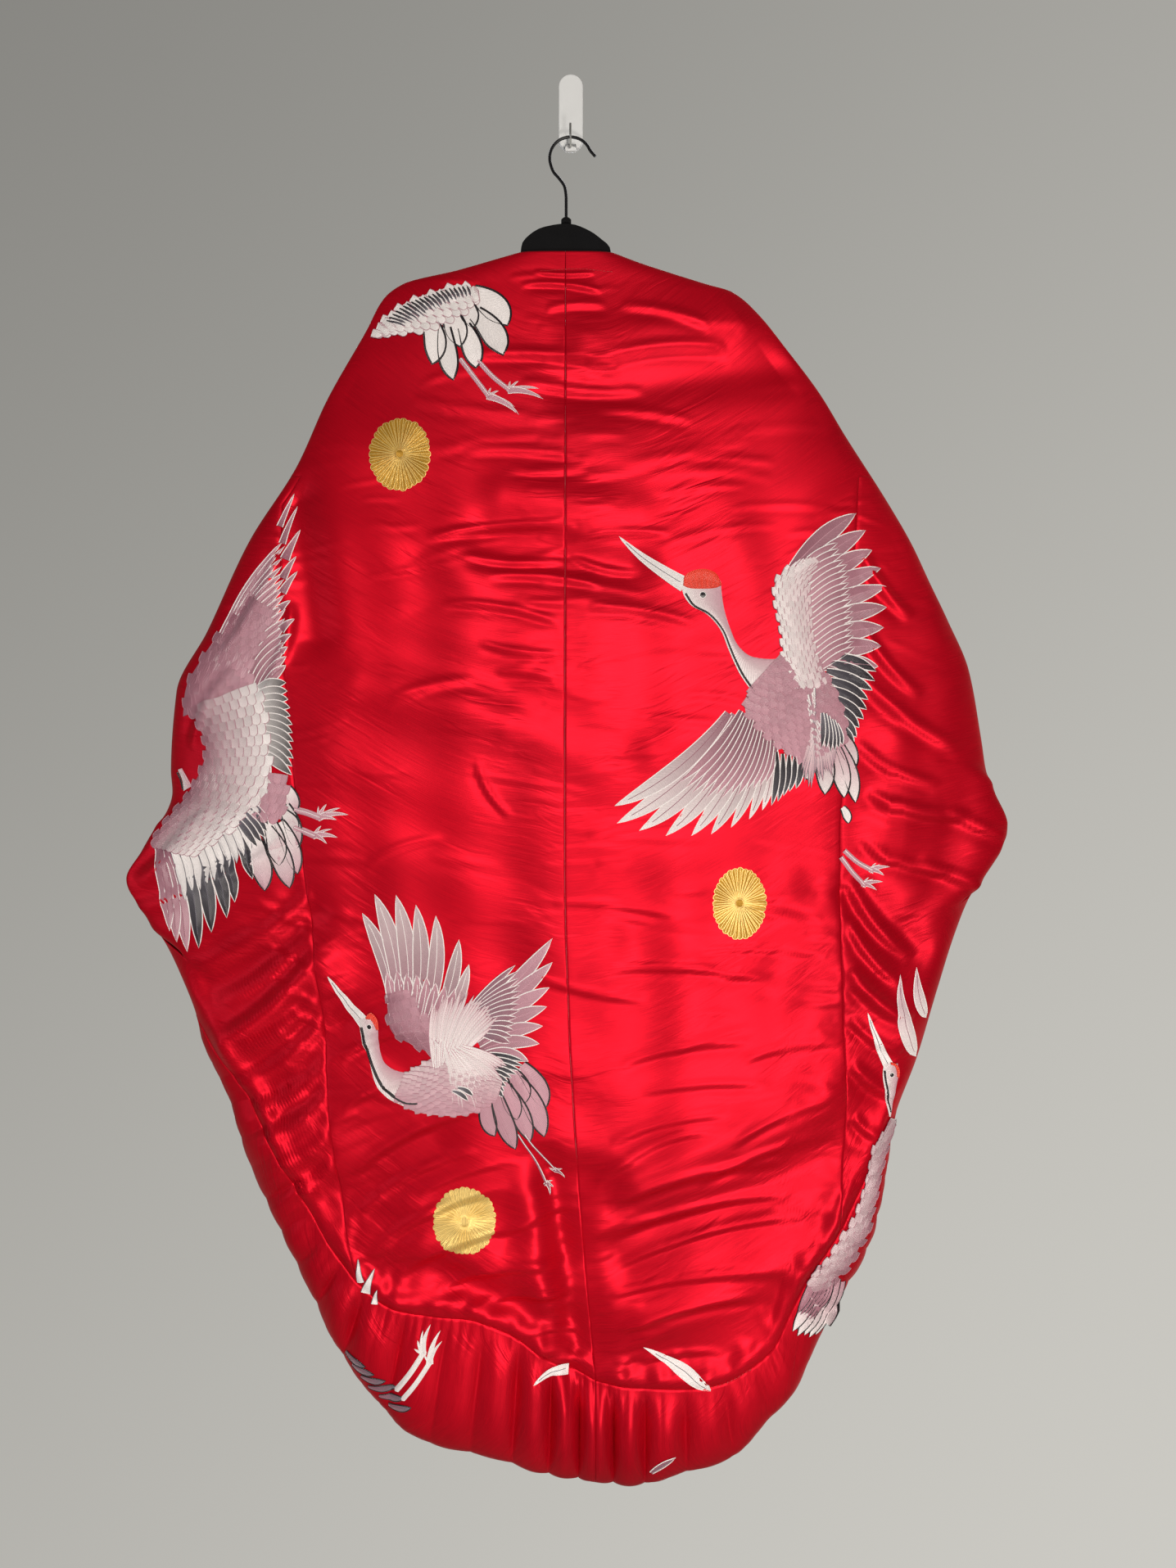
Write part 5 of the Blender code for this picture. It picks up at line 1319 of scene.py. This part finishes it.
def crane_rising():
    """Crane low on the left: neck curled down, one wing straight up and one to the right."""
    w = Needlework()
    w.blades([(22, 36), (30, 34), (36, 30), (40, 24), (42, 18), (44, 12), (46, 6)],
             [(130, 146), (130, 117), (126, 86), (123, 63), (118, 40), (114, 19), (101, -2)],
             [20, 22, 22, 21, 19, 18, 17], [-0.04, -0.02, 0.02, 0.04, 0.06, 0.08, 0.10], MAUVE, BLUSH,
             lift=0.5, shaft=BLUSH, rows=17)
    w.fan([(20, 46), (30, 52), (40, 44), (46, 30)], [(84, 112), (92, 90), (90, 64), (84, 38), (78, 20)],
          13, 10, 0.03, 0.5 * (MAUVE + GREY), MAUVE, lift=1.1, rows=12)
    w.blades([(-62, 62), (-56, 60), (-46, 56), (-36, 52), (-24, 46), (-10, 40), (0, 36)],
             [(-100, 176), (-85, 199), (-59, 198), (-35, 186), (-11, 173), (17, 144), (29, 114)],
             [20, 24, 24, 23, 22, 19, 16], [-0.06, -0.06, -0.05, -0.05, -0.05, -0.04, -0.03], MAUVE,
             0.5 * (MAUVE + SILVER), lift=0.6, shaft=SILVER, rows=18)
    w.fan([(-62, 50), (-46, 46), (-28, 40), (-10, 34)],
          [(-70, 104), (-50, 106), (-30, 102), (-8, 92), (12, 84)], 8, 15, -0.04, MAUVE, BLUSH, lift=1.2,
          shaft=SILVER, rows=12)
    w.plumage([(-12, 3), (-30, 15), (-52, 25), (-64, 36), (-68, 52), (-68, 74)],
              [(14, 10), (4, 34), (-12, 44), (-24, 54), (-32, 64), (-42, 80)], MAUVE, BLUSH, lift=1.2,
              crown=0.9, rows=9, columns=4, size=12)
    # tail, black secondaries, body
    w.blades([(92, -8), (86, -24), (74, -36), (62, -44), (50, -50), (80, -14), (70, -30)],
             [(121, -60), (120, -94), (103, -100), (85, -110), (60, -94), (96, -54), (87, -74)],
             [22, 22, 20, 20, 17, 20, 19], [0.08, 0.06, 0.04, -0.02, -0.08, 0.08, 0.04], BLUSH, BLUSH,
             edge_width=2.3, **TAIL_EDGE)
    w.fan([(36, 6), (44, -6), (50, -18), (54, -30)], [(98, -2), (88, -16), (76, -28), (70, -46)], 9, 8, 0.05,
          BLACK, GREY * 0.5, lift=1.6, rows=12)
    w.plumage([(-58, -49), (-40, -62), (-14, -68), (14, -68), (38, -63), (58, -52)],
              [(-44, -16), (-15, 2), (6, 14), (28, 14), (48, 0), (66, -24)], BLUSH, PEARL, lift=1.1,
              crown=1.4, rows=18, columns=9, size=7.5)
    w.fan([(-14, -2), (0, 6), (12, 12), (24, 10)], [(-14, 60), (6, 80), (36, 74), (62, 44)], 27, 6.5, 0.02,
          SILVER, PEARL, lift=2.2, ragged=0.15, edge=BLUSH, edge_width=0.7, rows=12)
    w.fan([(2, 0), (14, 2), (26, 6), (32, 14)], [(10, -56), (36, -52), (60, -34), (72, -2)], 27, 6.5, 0.02,
          SILVER, PEARL, lift=2.4, ragged=0.15, edge=BLUSH, edge_width=0.7, rows=12)
    w.blades([(10, -38), (16, -34)], [(28, -50), (34, -44)], 7, 0.1, GREY, BLACK, lift=3.0, rows=9)
    add_head(w,
             [(-105, 48), (-104, 40), (-100, 20), (-92, 0), (-83, -27), (-69, -46), (-50, -57), (-28, -66)],
             [(-82, 48), (-80, 31), (-79, 12), (-72, -5), (-58, -14), (-44, -16), (-28, -8), (-11, 3)],
             [(-101, 38), (-96, 17), (-88, -5), (-77, -27), (-63, -43), (-47, -53), (-33, -54)], 3.8,
             ([(-96, 50), (-90, 56), (-82, 50), (-79, 36)], [(-94, 48), (-90, 48), (-86, 43), (-82, 35)]),
             ((-97, 42), (-140, 101)), 14, (-91, 39), 2.6)
    w.leg([(88, -92), (108, -124), (122, -156)], 2.6, MAUVE, ((14, -70, 4), (10, -30, 4), (8, 20, 3)))
    w.leg([(96, -92), (114, -116), (134, -140)], 2.6, MAUVE, ((14, -40, 5), (8, 20, 4), (9, 160, 3)))
    return w


def crane_folded_wing():
    """Crane on the left outer panel: one wing along the seam, one over the fold, tail and
    feet to the right."""
    w = Needlework()
    w.blades([(36, 262), (40, 240), (44, 220), (42, 196), (42, 178), (40, 158), (42, 132), (44, 118),
              (44, 104)],
             [(52, 304), (56, 288), (61, 258), (57, 224), (59, 205), (52, 168), (58, 145), (55, 126),
              (51, 110)], [7, 8, 11, 10, 10, 10, 12, 10, 8], 0.02, MAUVE, BLUSH, lift=0.6, outline="spike",
             rows=10)
    w.fan([(-54, 62), (-34, 84), (-14, 84), (6, 70), (22, 56)],
          [(40, 242), (42, 216), (44, 184), (46, 150), (48, 118), (50, 88)],
          17, 13, 0.05, MAUVE, BLUSH, lift=0.5, shaft=MAUVE, rows=20)
    w.fan([(16, 60), (18, 34), (18, 6), (14, -16)], [(49, 66), (54, 40), (58, 10), (60, -20), (58, -46)],
          12, 14, 0.05, SILVER * 0.7, BLACK, lift=1.0, rows=13)
    # far wing: mauve, then dark feathers, then white ones
    w.blades([(-108, -124), (-100, -130), (-92, -134)], [(-92, -236), (-84, -250), (-72, -262)], 22, 0.04,
             MAUVE, BLUSH, lift=0.5, shaft=MAUVE, rows=15)
    w.blades([(-74, -138), (-58, -134), (-44, -130), (-30, -122), (-14, -108)],
             [(-57, -257), (-40, -237), (-20, -219), (-10, -200), (12, -172)], [20, 22, 20, 19, 17], 0.05,
             GREY * 0.7, BLACK, lift=0.8, shaft=GREY, rows=15)
    w.fan([(-88, -128), (-66, -122), (-44, -112), (-22, -100), (-4, -84)],
          [(-70, -198), (-48, -184), (-26, -166), (-4, -150), (18, -130)], 11, 13, 0.04, SILVER,
          SILVER * 0.9, lift=1.2, edge=GREY, edge_width=0.8, rows=13)
    w.fan([(-10, -96), (4, -92), (16, -84)], [(18, -134), (26, -120), (30, -106)], 5, 10, 0.02, GREY, BLACK,
          lift=1.9, rows=10)
    w.blades([(8, -118), (28, -112), (44, -104), (50, -84), (52, -62), (30, -100), (48, -92)],
             [(27, -186), (56, -183), (66, -166), (65, -136), (62, -92), (44, -156), (64, -116)],
             [22, 22, 18, 18, 16, 20, 16], 0.06, SILVER, BLUSH, edge_width=2.3, **TAIL_EDGE)
    w.plumage([(-66, 31), (-54, 7), (-47, -17), (-54, -41), (-72, -70), (-90, -92), (-114, -128)],
              [(18, 62), (26, 30), (30, -4), (34, -44), (28, -84), (-6, -108), (-58, -140)], MAUVE, SILVER,
              lift=1.2, crown=1.3, rows=20, columns=8, size=12)
    w.plumage([(2, 166), (-26, 138), (-58, 96), (-76, 62), (-80, 26)],
              [(28, 150), (20, 122), (8, 92), (8, 72), (14, 54)], MAUVE, BLUSH, lift=0.9, crown=0.7, rows=12,
              columns=5, size=14)
    w.plumage([(34, -50), (22, -78), (10, -96)], [(52, -52), (52, -80), (46, -100)], BLUSH, BLUSH, lift=1.6,
              crown=0.6, rows=5, columns=3, size=12)
    # the head looks round the fold
    w.plumage([(-78, -66), (-80, -52), (-86, -40)], [(-66, -60), (-72, -50), (-80, -38)], SILVER, BLUSH,
              lift=0.6)
    w.threads(spline([(-79, -64), (-82, -52), (-87, -43)], 10), 2.4, BLACK, 0.9)
    w.leg([(62, -88), (78, -92), (94, -98)], 8, BLUSH,
          ((34, 6, 8), (18, 66, 6), (20, -8, 6), (27, 26, 5), (14, 100, 4)))
    w.leg([(62, -110), (76, -115), (88, -120)], 8, BLUSH,
          ((27, -4, 8), (14, 60, 5), (17, -34, 6), (22, 22, 4)))
    return w


def crane_tail_and_feet():
    """On the left shoulder: the tail of a crane that goes on over the fold, with its feet."""
    w = Needlework()
    w.leg([(30, -40), (48, -64), (66, -88)], 6, BLUSH,
          ((44, -32, 9), (14, 34, 4), (26, -22, 6), (34, -22, 5), (12, 80, 4)))
    w.leg([(52, -42), (70, -62), (92, -80)], 6, BLUSH,
          ((42, -14, 9), (16, 50, 4), (26, -4, 6), (36, 4, 5), (12, 90, 4)))
    w.blades([(44, 44), (30, 38), (48, 18), (12, 24), (34, 2), (10, 0), (-12, 12)],
             [(88, 3), (45, 0), (83, -35), (29, -24), (49, -51), (21, -66), (-5, -46)],
             [30, 20, 27, 24, 22, 21, 24], [0.10, 0.06, 0.08, 0.06, 0.05, -0.02, 0.12], SILVER, SILVER,
             edge_width=2.8, **TAIL_EDGE)
    w.plumage([(-76, -6), (-64, 14), (-42, 31), (-4, 46), (36, 54), (46, 48)],
              [(-72, -7), (-36, -6), (-12, -4), (12, 6), (34, 18), (48, 34)], SILVER, SILVER, lift=1.3,
              crown=1.0, rows=14, columns=5, size=11, turn=-50)
    w.fan([(-62, 10), (-42, 27), (-6, 42), (16, 49), (38, 52)],
          [(-38, 2), (-20, 10), (8, 26), (26, 34), (42, 38)], 21, 6, 0.02, BLACK, GREY, lift=2.4,
          edge_width=0.9, rows=10)
    return w


def wings_at_the_edge():
    """Low on the right outer panel: two wing tips and a crane's head, cut by the fold."""
    w = Needlework()
    w.blades([(15, 6), (27, 54)], [(-8, 108), (14, 116)], [19, 15], [0.08, 0.08], SILVER, BLUSH, lift=0.8,
             shaft=MAUVE, outline="sliver", rows=15)
    add_head(w, [(-28, 0), (-29, -14), (-26, -38), (-20, -66)], [(-10, 0), (-9, -18), (-13, -36), (-18, -66)],
             [(-27, -8), (-25, -26), (-22, -42), (-19, -60)], 2.8,
             ([(-20, 2), (-13, 0), (-8, -8), (-8, -18)], [(-20, -1), (-15, -3), (-12, -9), (-11, -17)]),
             ((-21, -4), (-49, 63)), 12, (-18, -14), 2.4)
    return w


def wing_on_band():
    """On the right, a folded wing that lies along the hem seam on the band."""
    w = Needlework()
    w.fan([(-56, -44), (-46, -48), (-34, -54), (-24, -58)],
          [(-86, -112), (-76, -118), (-66, -120), (-56, -120)], 5, 14, 0.05, BLUSH, SILVER, **TAIL_EDGE,
          edge_width=1.6)
    w.fan([(-56, -30), (-48, -36), (-42, -42), (-38, -46)], [(-80, -88), (-72, -94), (-66, -98), (-61, -98)],
          6, 13, 0.05, BLUSH, MAUVE, edge=BLACK, edge_width=1.2, lift=1.3, rows=12)
    w.plumage([(37, 138), (18, 115), (9, 68), (-11, 21), (-25, 4), (-46, -26), (-66, -46)],
              [(38, 132), (28, 100), (16, 50), (6, 6), (-14, -30), (-36, -54), (-52, -62)], PEARL, MAUVE,
              lift=1.0, crown=0.9, rows=24, columns=3, size=13)
    return w


def feathers_on_band():
    """On the left of the band: dark-edged wing tips at its fold, a crane's feet, and feather
    tips cut off by the seam."""
    w = Needlework()
    w.fan([(-46, 30), (-32, 10), (-18, -8), (-4, -22), (8, -34)],
          [(-20, 18), (0, 2), (20, -10), (30, -24), (36, -31)], 6, 11, -0.06, MAUVE, GREY, edge=BLACK,
          edge_width=1.6, lift=0.6, rows=11)
    w.leg([(18, -11), (38, 16), (52, 38)], 6.5, SILVER,
          ((34, 76, 7), (16, 118, 6), (12, 160, 5), (26, 92, 5)))
    w.leg([(26, -21), (44, 2), (60, 26)], 6, SILVER, ((40, 72, 8), (28, 60, 6), (12, 130, 4)))
    w.blades([(-24, 124), (-19, 109), (-8, 96)], [(-27, 153), (-8, 139), (-4, 115)], [9, 12, 8], 0.03,
             SILVER, SILVER, lift=0.7, outline="spike", edge=GREY, edge_width=0.8, rows=9)
    return w


def lone_blade(root, tip, width, bend, outline, colour):
    """A single beak or feather, cut off by a seam."""
    w = Needlework()
    w.blades([root], [tip], width, bend, colour, colour, lift=0.7, shaft=GREY, outline=outline, rows=13)
    return w


def chrysanthemum(petals, wide, tall, near, far, seed):
    """A round flower head of many narrow petals in gilt thread, as a medallion."""
    w = Needlework()
    w.random = np.random.default_rng(seed)
    turn = np.linspace(0, 2 * math.pi, petals, endpoint=False) + w.random.uniform(-0.02, 0.02, petals)
    ring = np.stack([np.cos(turn), np.sin(turn)], -1)
    tips = ring * (wide, tall) * w.random.uniform(0.97, 1.02, petals)[:, None]
    tone = (0.5 + 0.5 * np.sin(3 * turn + seed))[:, None]
    petal = 2.25 * math.pi * (wide + tall) / 2 / petals
    w.blades(ring * 3, tips, petal, 0, near + (far - near) * tone, far, outline="petal", lift=0.5, tilt=0.12,
             crown=0.35, edge=PALE_GOLD, edge_width=1.0, shaft=PALE_GOLD, rows=16)
    heart = np.linspace(0, 1, 4)[:, None, None]
    round_it = np.linspace(0, 2 * math.pi, 17)
    circle = np.stack([np.cos(round_it), np.sin(round_it)], -1)
    w.lay(circle * heart * 4.5, 1.7 - 0.6 * heart[..., 0] ** 2, far, circle * heart * 4.5)
    return w


# Motifs: name, what makes it, its middle (mm) and the cloths that it lies on
MOTIFS = (
    ("crane_flying_left", crane_flying_left, 259, -765, ("back_right", "side_right")),
    ("crane_rising", crane_rising, -148, -1167, ("back_left", "back_right")),
    ("crane_folded_wing", crane_folded_wing, -388, -785, ("side_left", "back_left")),
    ("crane_tail_and_feet", crane_tail_and_feet, -163, -285, ("back_left",)),
    ("wings_at_the_edge", wings_at_the_edge, 402, -1175, ("side_right",)),
    ("wing_on_band", wing_on_band, 350, -1385, ("hem_band_right", "side_right", "back_right")),
    ("feathers_on_band", feathers_on_band, -225, -1555, ("hem_band_left", "side_left", "back_left")),
)
# Single beaks and feathers: name, root, tip (mm), width, bend, outline, colour, cloths
LONE_BLADES = (
    ("beak_on_panel", (168, -1565), (88, -1513), 15, -0.03, "sliver", SILVER, ("back_right",)),
    ("beak_on_band", (-2, -1543), (-43, -1556), 13, -0.12, "spike", SILVER, ("hem_band_left", "back_left")),
    ("feather_at_hem", (98, -1668), (126, -1646), 9, 0.08, "leaf", MAUVE, ("hem_band_right",)),
)
# Medallions: middle, half width and half height (mm), colour near the heart and at the rim
MEDALLIONS = (
    (-206, -442, 38, 46, OCHRE, GOLD * 0.8),
    (202, -983, 33, 43, OCHRE, GOLD * 0.9),
    (-125, -1360, 38, 40, GOLD, PALE_GOLD),
)


# ---- Stitches and hard parts ----
def dashes(points, stitch, gap):
    """Straight stitches along a line: the two ends of each one, with a middle between."""
    fine = np.asarray(points, float)
    run = lengths(fine)
    start = np.arange(0, run[-1] - stitch, stitch + gap)
    at = start[:, None] + np.array([0, 0.5, 1]) * stitch
    return np.stack([np.interp(at, run, fine[:, k]) for k in range(2)], -1)


def neck_stitches():
    """A row of short stitches just below the back of the neck."""
    w = Needlework()
    line = spline([(-37, -214), (8, -211), (53, -215)], 60)
    w.threads(dashes(line, 3.2, 1.1), 0.8, np.array(linear("#B80C1C")), 0.1)
    return w


def hem_stitches(side, first, last):
    """Small loops where the band is caught to the hem by hand, from one x to another."""
    w = Needlework()
    rim = along(side.hem, 700)
    rim = rim[(rim[:, 0] > first) & (rim[:, 0] < last)]
    sewn = dashes(rim[:, :2] / MM, 2.6, 2.4)
    aside = left_of(unit(sewn[:, 2] - sewn[:, 0]))[:, None]
    bow = np.array([-1.0, 1.4, -1.0])[None, :, None] * w.random.uniform(0.6, 1.1, (len(sewn), 1, 1))
    w.threads(sewn + aside * bow, 0.8, np.array(linear("#C8202C")), 0.35)
    return w


def dress(names, made):
    """Gives solids that show as they are their own material."""
    for name in names:
        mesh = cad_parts[name].data
        mesh.materials.clear()
        mesh.materials.append(made)


# ---- Stage ----
FLOOR_HEIGHT, FLOOR_SLAB = -2.02, 0.02
WALL_COLOUR = "#C1BFB9"
WALL_GLOW, ROOM_GLOW = 0.80, 0.08
WALL_DRIFT = (0.34, 0.0, -0.40)  # the wall is lighter to the right and lower down
# Soft lights: place, aim, width, height, power (W), colour
SOFT_LIGHTS = (
    ((0.40, -3.1, 0.05), (0.0, 0.0, -0.95), 0.4, 0.4, 64, "#FFF7EE"),
    ((0.50, -1.80, -1.62), (0.08, 0.0, -1.46), 0.30, 0.30, 19, "#FFF7F0"),
    ((-1.9, -1.3, -0.9), (0.0, 0.0, -1.0), 0.6, 1.2, 6, "#EEF4FF"),
    ((0.0, 2.2, 0.6), (0.0, 0.0, -0.8), 2.2, 1.6, 45, "#F4F6FF"),
)


def set_stage(scene):
    """A pale floor below the coat, soft lights round it and the camera square to the wall."""
    x, y = np.meshgrid(np.linspace(-1.6, 1.6, 9), np.linspace(-2.2, 0.22, 9))
    points = np.stack([x, y, np.full(x.shape, FLOOR_HEIGHT)], -1)
    floor = bpy.data.objects.new("floor", new_mesh("floor", points.reshape(-1, 3), grid_faces(9, 9)))
    floor.data.materials.append(studio_floor())
    slab = floor.modifiers.new("slab", "SOLIDIFY")
    slab.thickness = FLOOR_SLAB
    scene.collection.objects.link(floor)

    world = bpy.data.worlds.new("studio")
    scene.world = world
    world.use_nodes = True
    tree = world.node_tree
    node = partial(add_node, tree)
    # the wall behind the coat is pale, and the room in front of it darker
    way = node("TexCoord")
    parts = node("SeparateXYZ", {"Vector": (way, "Generated")})
    drift = node("VectorMath", {0: (way, "Generated"), 1: WALL_DRIFT}, operation="DOT_PRODUCT")
    wall = node("Math", {0: (drift, "Value"), 1: WALL_GLOW}, operation="ADD")
    glow = node("MapRange", {"Value": (parts, "Y"), "From Min": -0.25, "From Max": 0.35, "To Min": ROOM_GLOW,
                             "To Max": (wall, "Value")}, interpolation_type="SMOOTHSTEP")
    backdrop = tree.nodes["Background"]
    backdrop.inputs["Color"].default_value = rgba(WALL_COLOUR)
    tree.links.new(glow.outputs["Result"], backdrop.inputs["Strength"])
    for number, (place, aim, wide, tall, power, colour) in enumerate(SOFT_LIGHTS):
        lamp = bpy.data.lights.new(f"soft_light_{number}", "AREA")
        lamp.shape = "RECTANGLE"
        lamp.size, lamp.size_y, lamp.energy, lamp.color = wide, tall, power, linear(colour)
        light = bpy.data.objects.new(lamp.name, lamp)
        light.location = place
        light.rotation_euler = (Vector(aim) - Vector(place)).to_track_quat("-Z", "Y").to_euler()
        scene.collection.objects.link(light)

    scene.view_settings.view_transform = "Standard"  # keeps the dyed reds as strong as they are
    look = scene.coat_look
    camera = bpy.data.objects.new("camera", bpy.data.cameras.new("camera"))
    camera.data.lens, camera.data.sensor_width = LENS, SENSOR
    camera.location = (CAMERA_X, -look.camera_distance, look.camera_height)
    camera.rotation_euler = (math.pi / 2, 0, 0)
    scene.collection.objects.link(camera)
    scene.camera = camera


# ---- Controls ----
class CoatLook(bpy.types.PropertyGroup):
    """Colours and sizes that change how the coat looks."""

    satin: bpy.props.FloatVectorProperty(
        name="Satin", description="Red of the satin where it is lit", subtype="COLOR", size=3,
        min=0, max=1, default=linear("#C80A20"))
    satin_shade: bpy.props.FloatVectorProperty(
        name="Satin shade", description="Deeper red of the satin's darker drifts", subtype="COLOR", size=3,
        min=0, max=1, default=linear("#A8061A"))
    outline: bpy.props.FloatProperty(
        name="Outline thread", description="Width of the thread couched round each feather",
        default=1.3 * MM, min=0, unit="LENGTH")
    camera_height: bpy.props.FloatProperty(
        name="Camera height", description="Height of the camera above the wall hook's middle",
        default=-0.841, unit="LENGTH")
    camera_distance: bpy.props.FloatProperty(
        name="Camera distance", description="Distance from the wall to the camera",
        default=1.482, unit="LENGTH")


class CoatOperator:
    """Shared settings of the operators."""

    bl_options = {"REGISTER", "UNDO"}


class COAT_OT_panels(CoatOperator, bpy.types.Operator):
    """Make the back and side panels, with their folds, creases and puckers"""

    bl_idname = "coat.panels"
    bl_label = "Body panels"

    def execute(self, context):
        for side in (LEFT, RIGHT):
            add_back_panel(side)
            add_side_panel(side)
        return {"FINISHED"}


class COAT_OT_bands(CoatOperator, bpy.types.Operator):
    """Make the gathered hem bands and the front bands"""

    bl_idname = "coat.bands"
    bl_label = "Bands"

    def execute(self, context):
        for side in (LEFT, RIGHT):
            hem, front = add_bands(side)
        return {"FINISHED"}


class COAT_OT_neck(CoatOperator, bpy.types.Operator):
    """Make the band inside the back of the neck, and its tape"""

    bl_idname = "coat.neck"
    bl_label = "Neck"

    def execute(self, context):
        inward = (CLOTH_WALL + BAND_WALL) / 2 + TOUCH
        beside = (CLOTH_WALL + TAPE_WALL) / 2 + TOUCH
        collar = add_neck_strip("collar_band", *COLLAR_SPAN, inward, CLOTH_SHELL, "satin", "red_satin")
        tape = add_neck_strip("neck_tape", *TAPE_SPAN, inward + beside, TAPE_WALL, "tape", "ivory_lining")
        return {"FINISHED"}


class COAT_OT_cranes(CoatOperator, bpy.types.Operator):
    """Embroider the cranes, and the wings and feet that the seams and folds cut off"""

    bl_idname = "coat.cranes"
    bl_label = "Cranes"

    def execute(self, context):
        for name, embroider, x, z, cloths in MOTIFS:
            embroider().piece(name, x, z, MOTIF_SCALE, laid_on(*cloths))
        for name, *blade, cloths in LONE_BLADES:
            lone_blade(*blade).piece(name, 0, 0, 1, laid_on(*cloths))
        return {"FINISHED"}


class COAT_OT_medallions(CoatOperator, bpy.types.Operator):
    """Embroider the gold chrysanthemum medallions"""

    bl_idname = "coat.medallions"
    bl_label = "Medallions"

    def execute(self, context):
        for number, (x, z, wide, tall, near, far) in enumerate(MEDALLIONS):
            flower = chrysanthemum(30 + 2 * number, wide, tall, near, far, number + 1)
            laid = laid_on("back_left", "back_right")
            flower.piece(f"medallion_{number + 1}", x, z, MOTIF_SCALE, laid, "gold")
        return {"FINISHED"}


class COAT_OT_stitching(CoatOperator, bpy.types.Operator):
    """Sew the line below the back of the neck and the hand stitches at the hem"""

    bl_idname = "coat.stitching"
    bl_label = "Stitching"

    def execute(self, context):
        for name, made, cloths in (
            ("neck_stitching", neck_stitches(), ("back_left", "back_right")),
            ("hem_stitching", hem_stitches(RIGHT, 0.168, 0.217), ("back_right", "hem_band_right")),
        ):
            made.piece(name, 0, 0, 1, laid_on(*cloths))
        return {"FINISHED"}


class COAT_OT_hanger(CoatOperator, bpy.types.Operator):
    """Finish the hanger, its hook and the wall hook"""

    bl_idname = "coat.hanger"
    bl_label = "Hanger and wall hook"

    def execute(self, context):
        dress(("hanger_body", "hanger_boss"), black_flock())
        dress(("hanger_hook",), enamelled_wire())
        dress(("wall_plate", "pin_seat"), white_abs())
        dress(("wall_pin",), drawn_steel())
        return {"FINISHED"}


class COAT_OT_stage(CoatOperator, bpy.types.Operator):
    """Set the floor, the soft light and the camera"""

    bl_idname = "coat.stage"
    bl_label = "Stage"

    def execute(self, context):
        set_stage(context.scene)
        return {"FINISHED"}


class COAT_PT_tools(bpy.types.Panel):
    """The coat's operators and settings"""

    bl_label = "Cocoon coat"
    bl_space_type = "VIEW_3D"
    bl_region_type = "UI"
    bl_category = "Coat"

    def draw(self, context):
        for made in OPERATORS:
            self.layout.operator(made.bl_idname)
        for key in CoatLook.__annotations__:
            self.layout.prop(context.scene.coat_look, key)


OPERATORS = (COAT_OT_panels, COAT_OT_bands, COAT_OT_neck, COAT_OT_cranes, COAT_OT_medallions,
             COAT_OT_stitching, COAT_OT_hanger, COAT_OT_stage)


def register():
    for made in (CoatLook, *OPERATORS, COAT_PT_tools):
        bpy.utils.register_class(made)
    bpy.types.Scene.coat_look = bpy.props.PointerProperty(type=CoatLook)


def unregister():
    del bpy.types.Scene.coat_look
    for made in (COAT_PT_tools, *reversed(OPERATORS), CoatLook):
        bpy.utils.unregister_class(made)


def main():
    """Makes everything in order."""
    register()
    MATERIALS.update(satin=bridal_satin(), lining=red_lining(), tape=ivory_tape(), floss=silk_floss(),
                     gold=gold_thread())
    bpy.ops.coat.panels()
    bpy.ops.coat.bands()
    bpy.ops.coat.neck()
    bpy.ops.coat.cranes()
    bpy.ops.coat.medallions()
    bpy.ops.coat.stitching()
    bpy.ops.coat.hanger()
    bpy.ops.coat.stage()


if __name__ == "__main__":
    main()
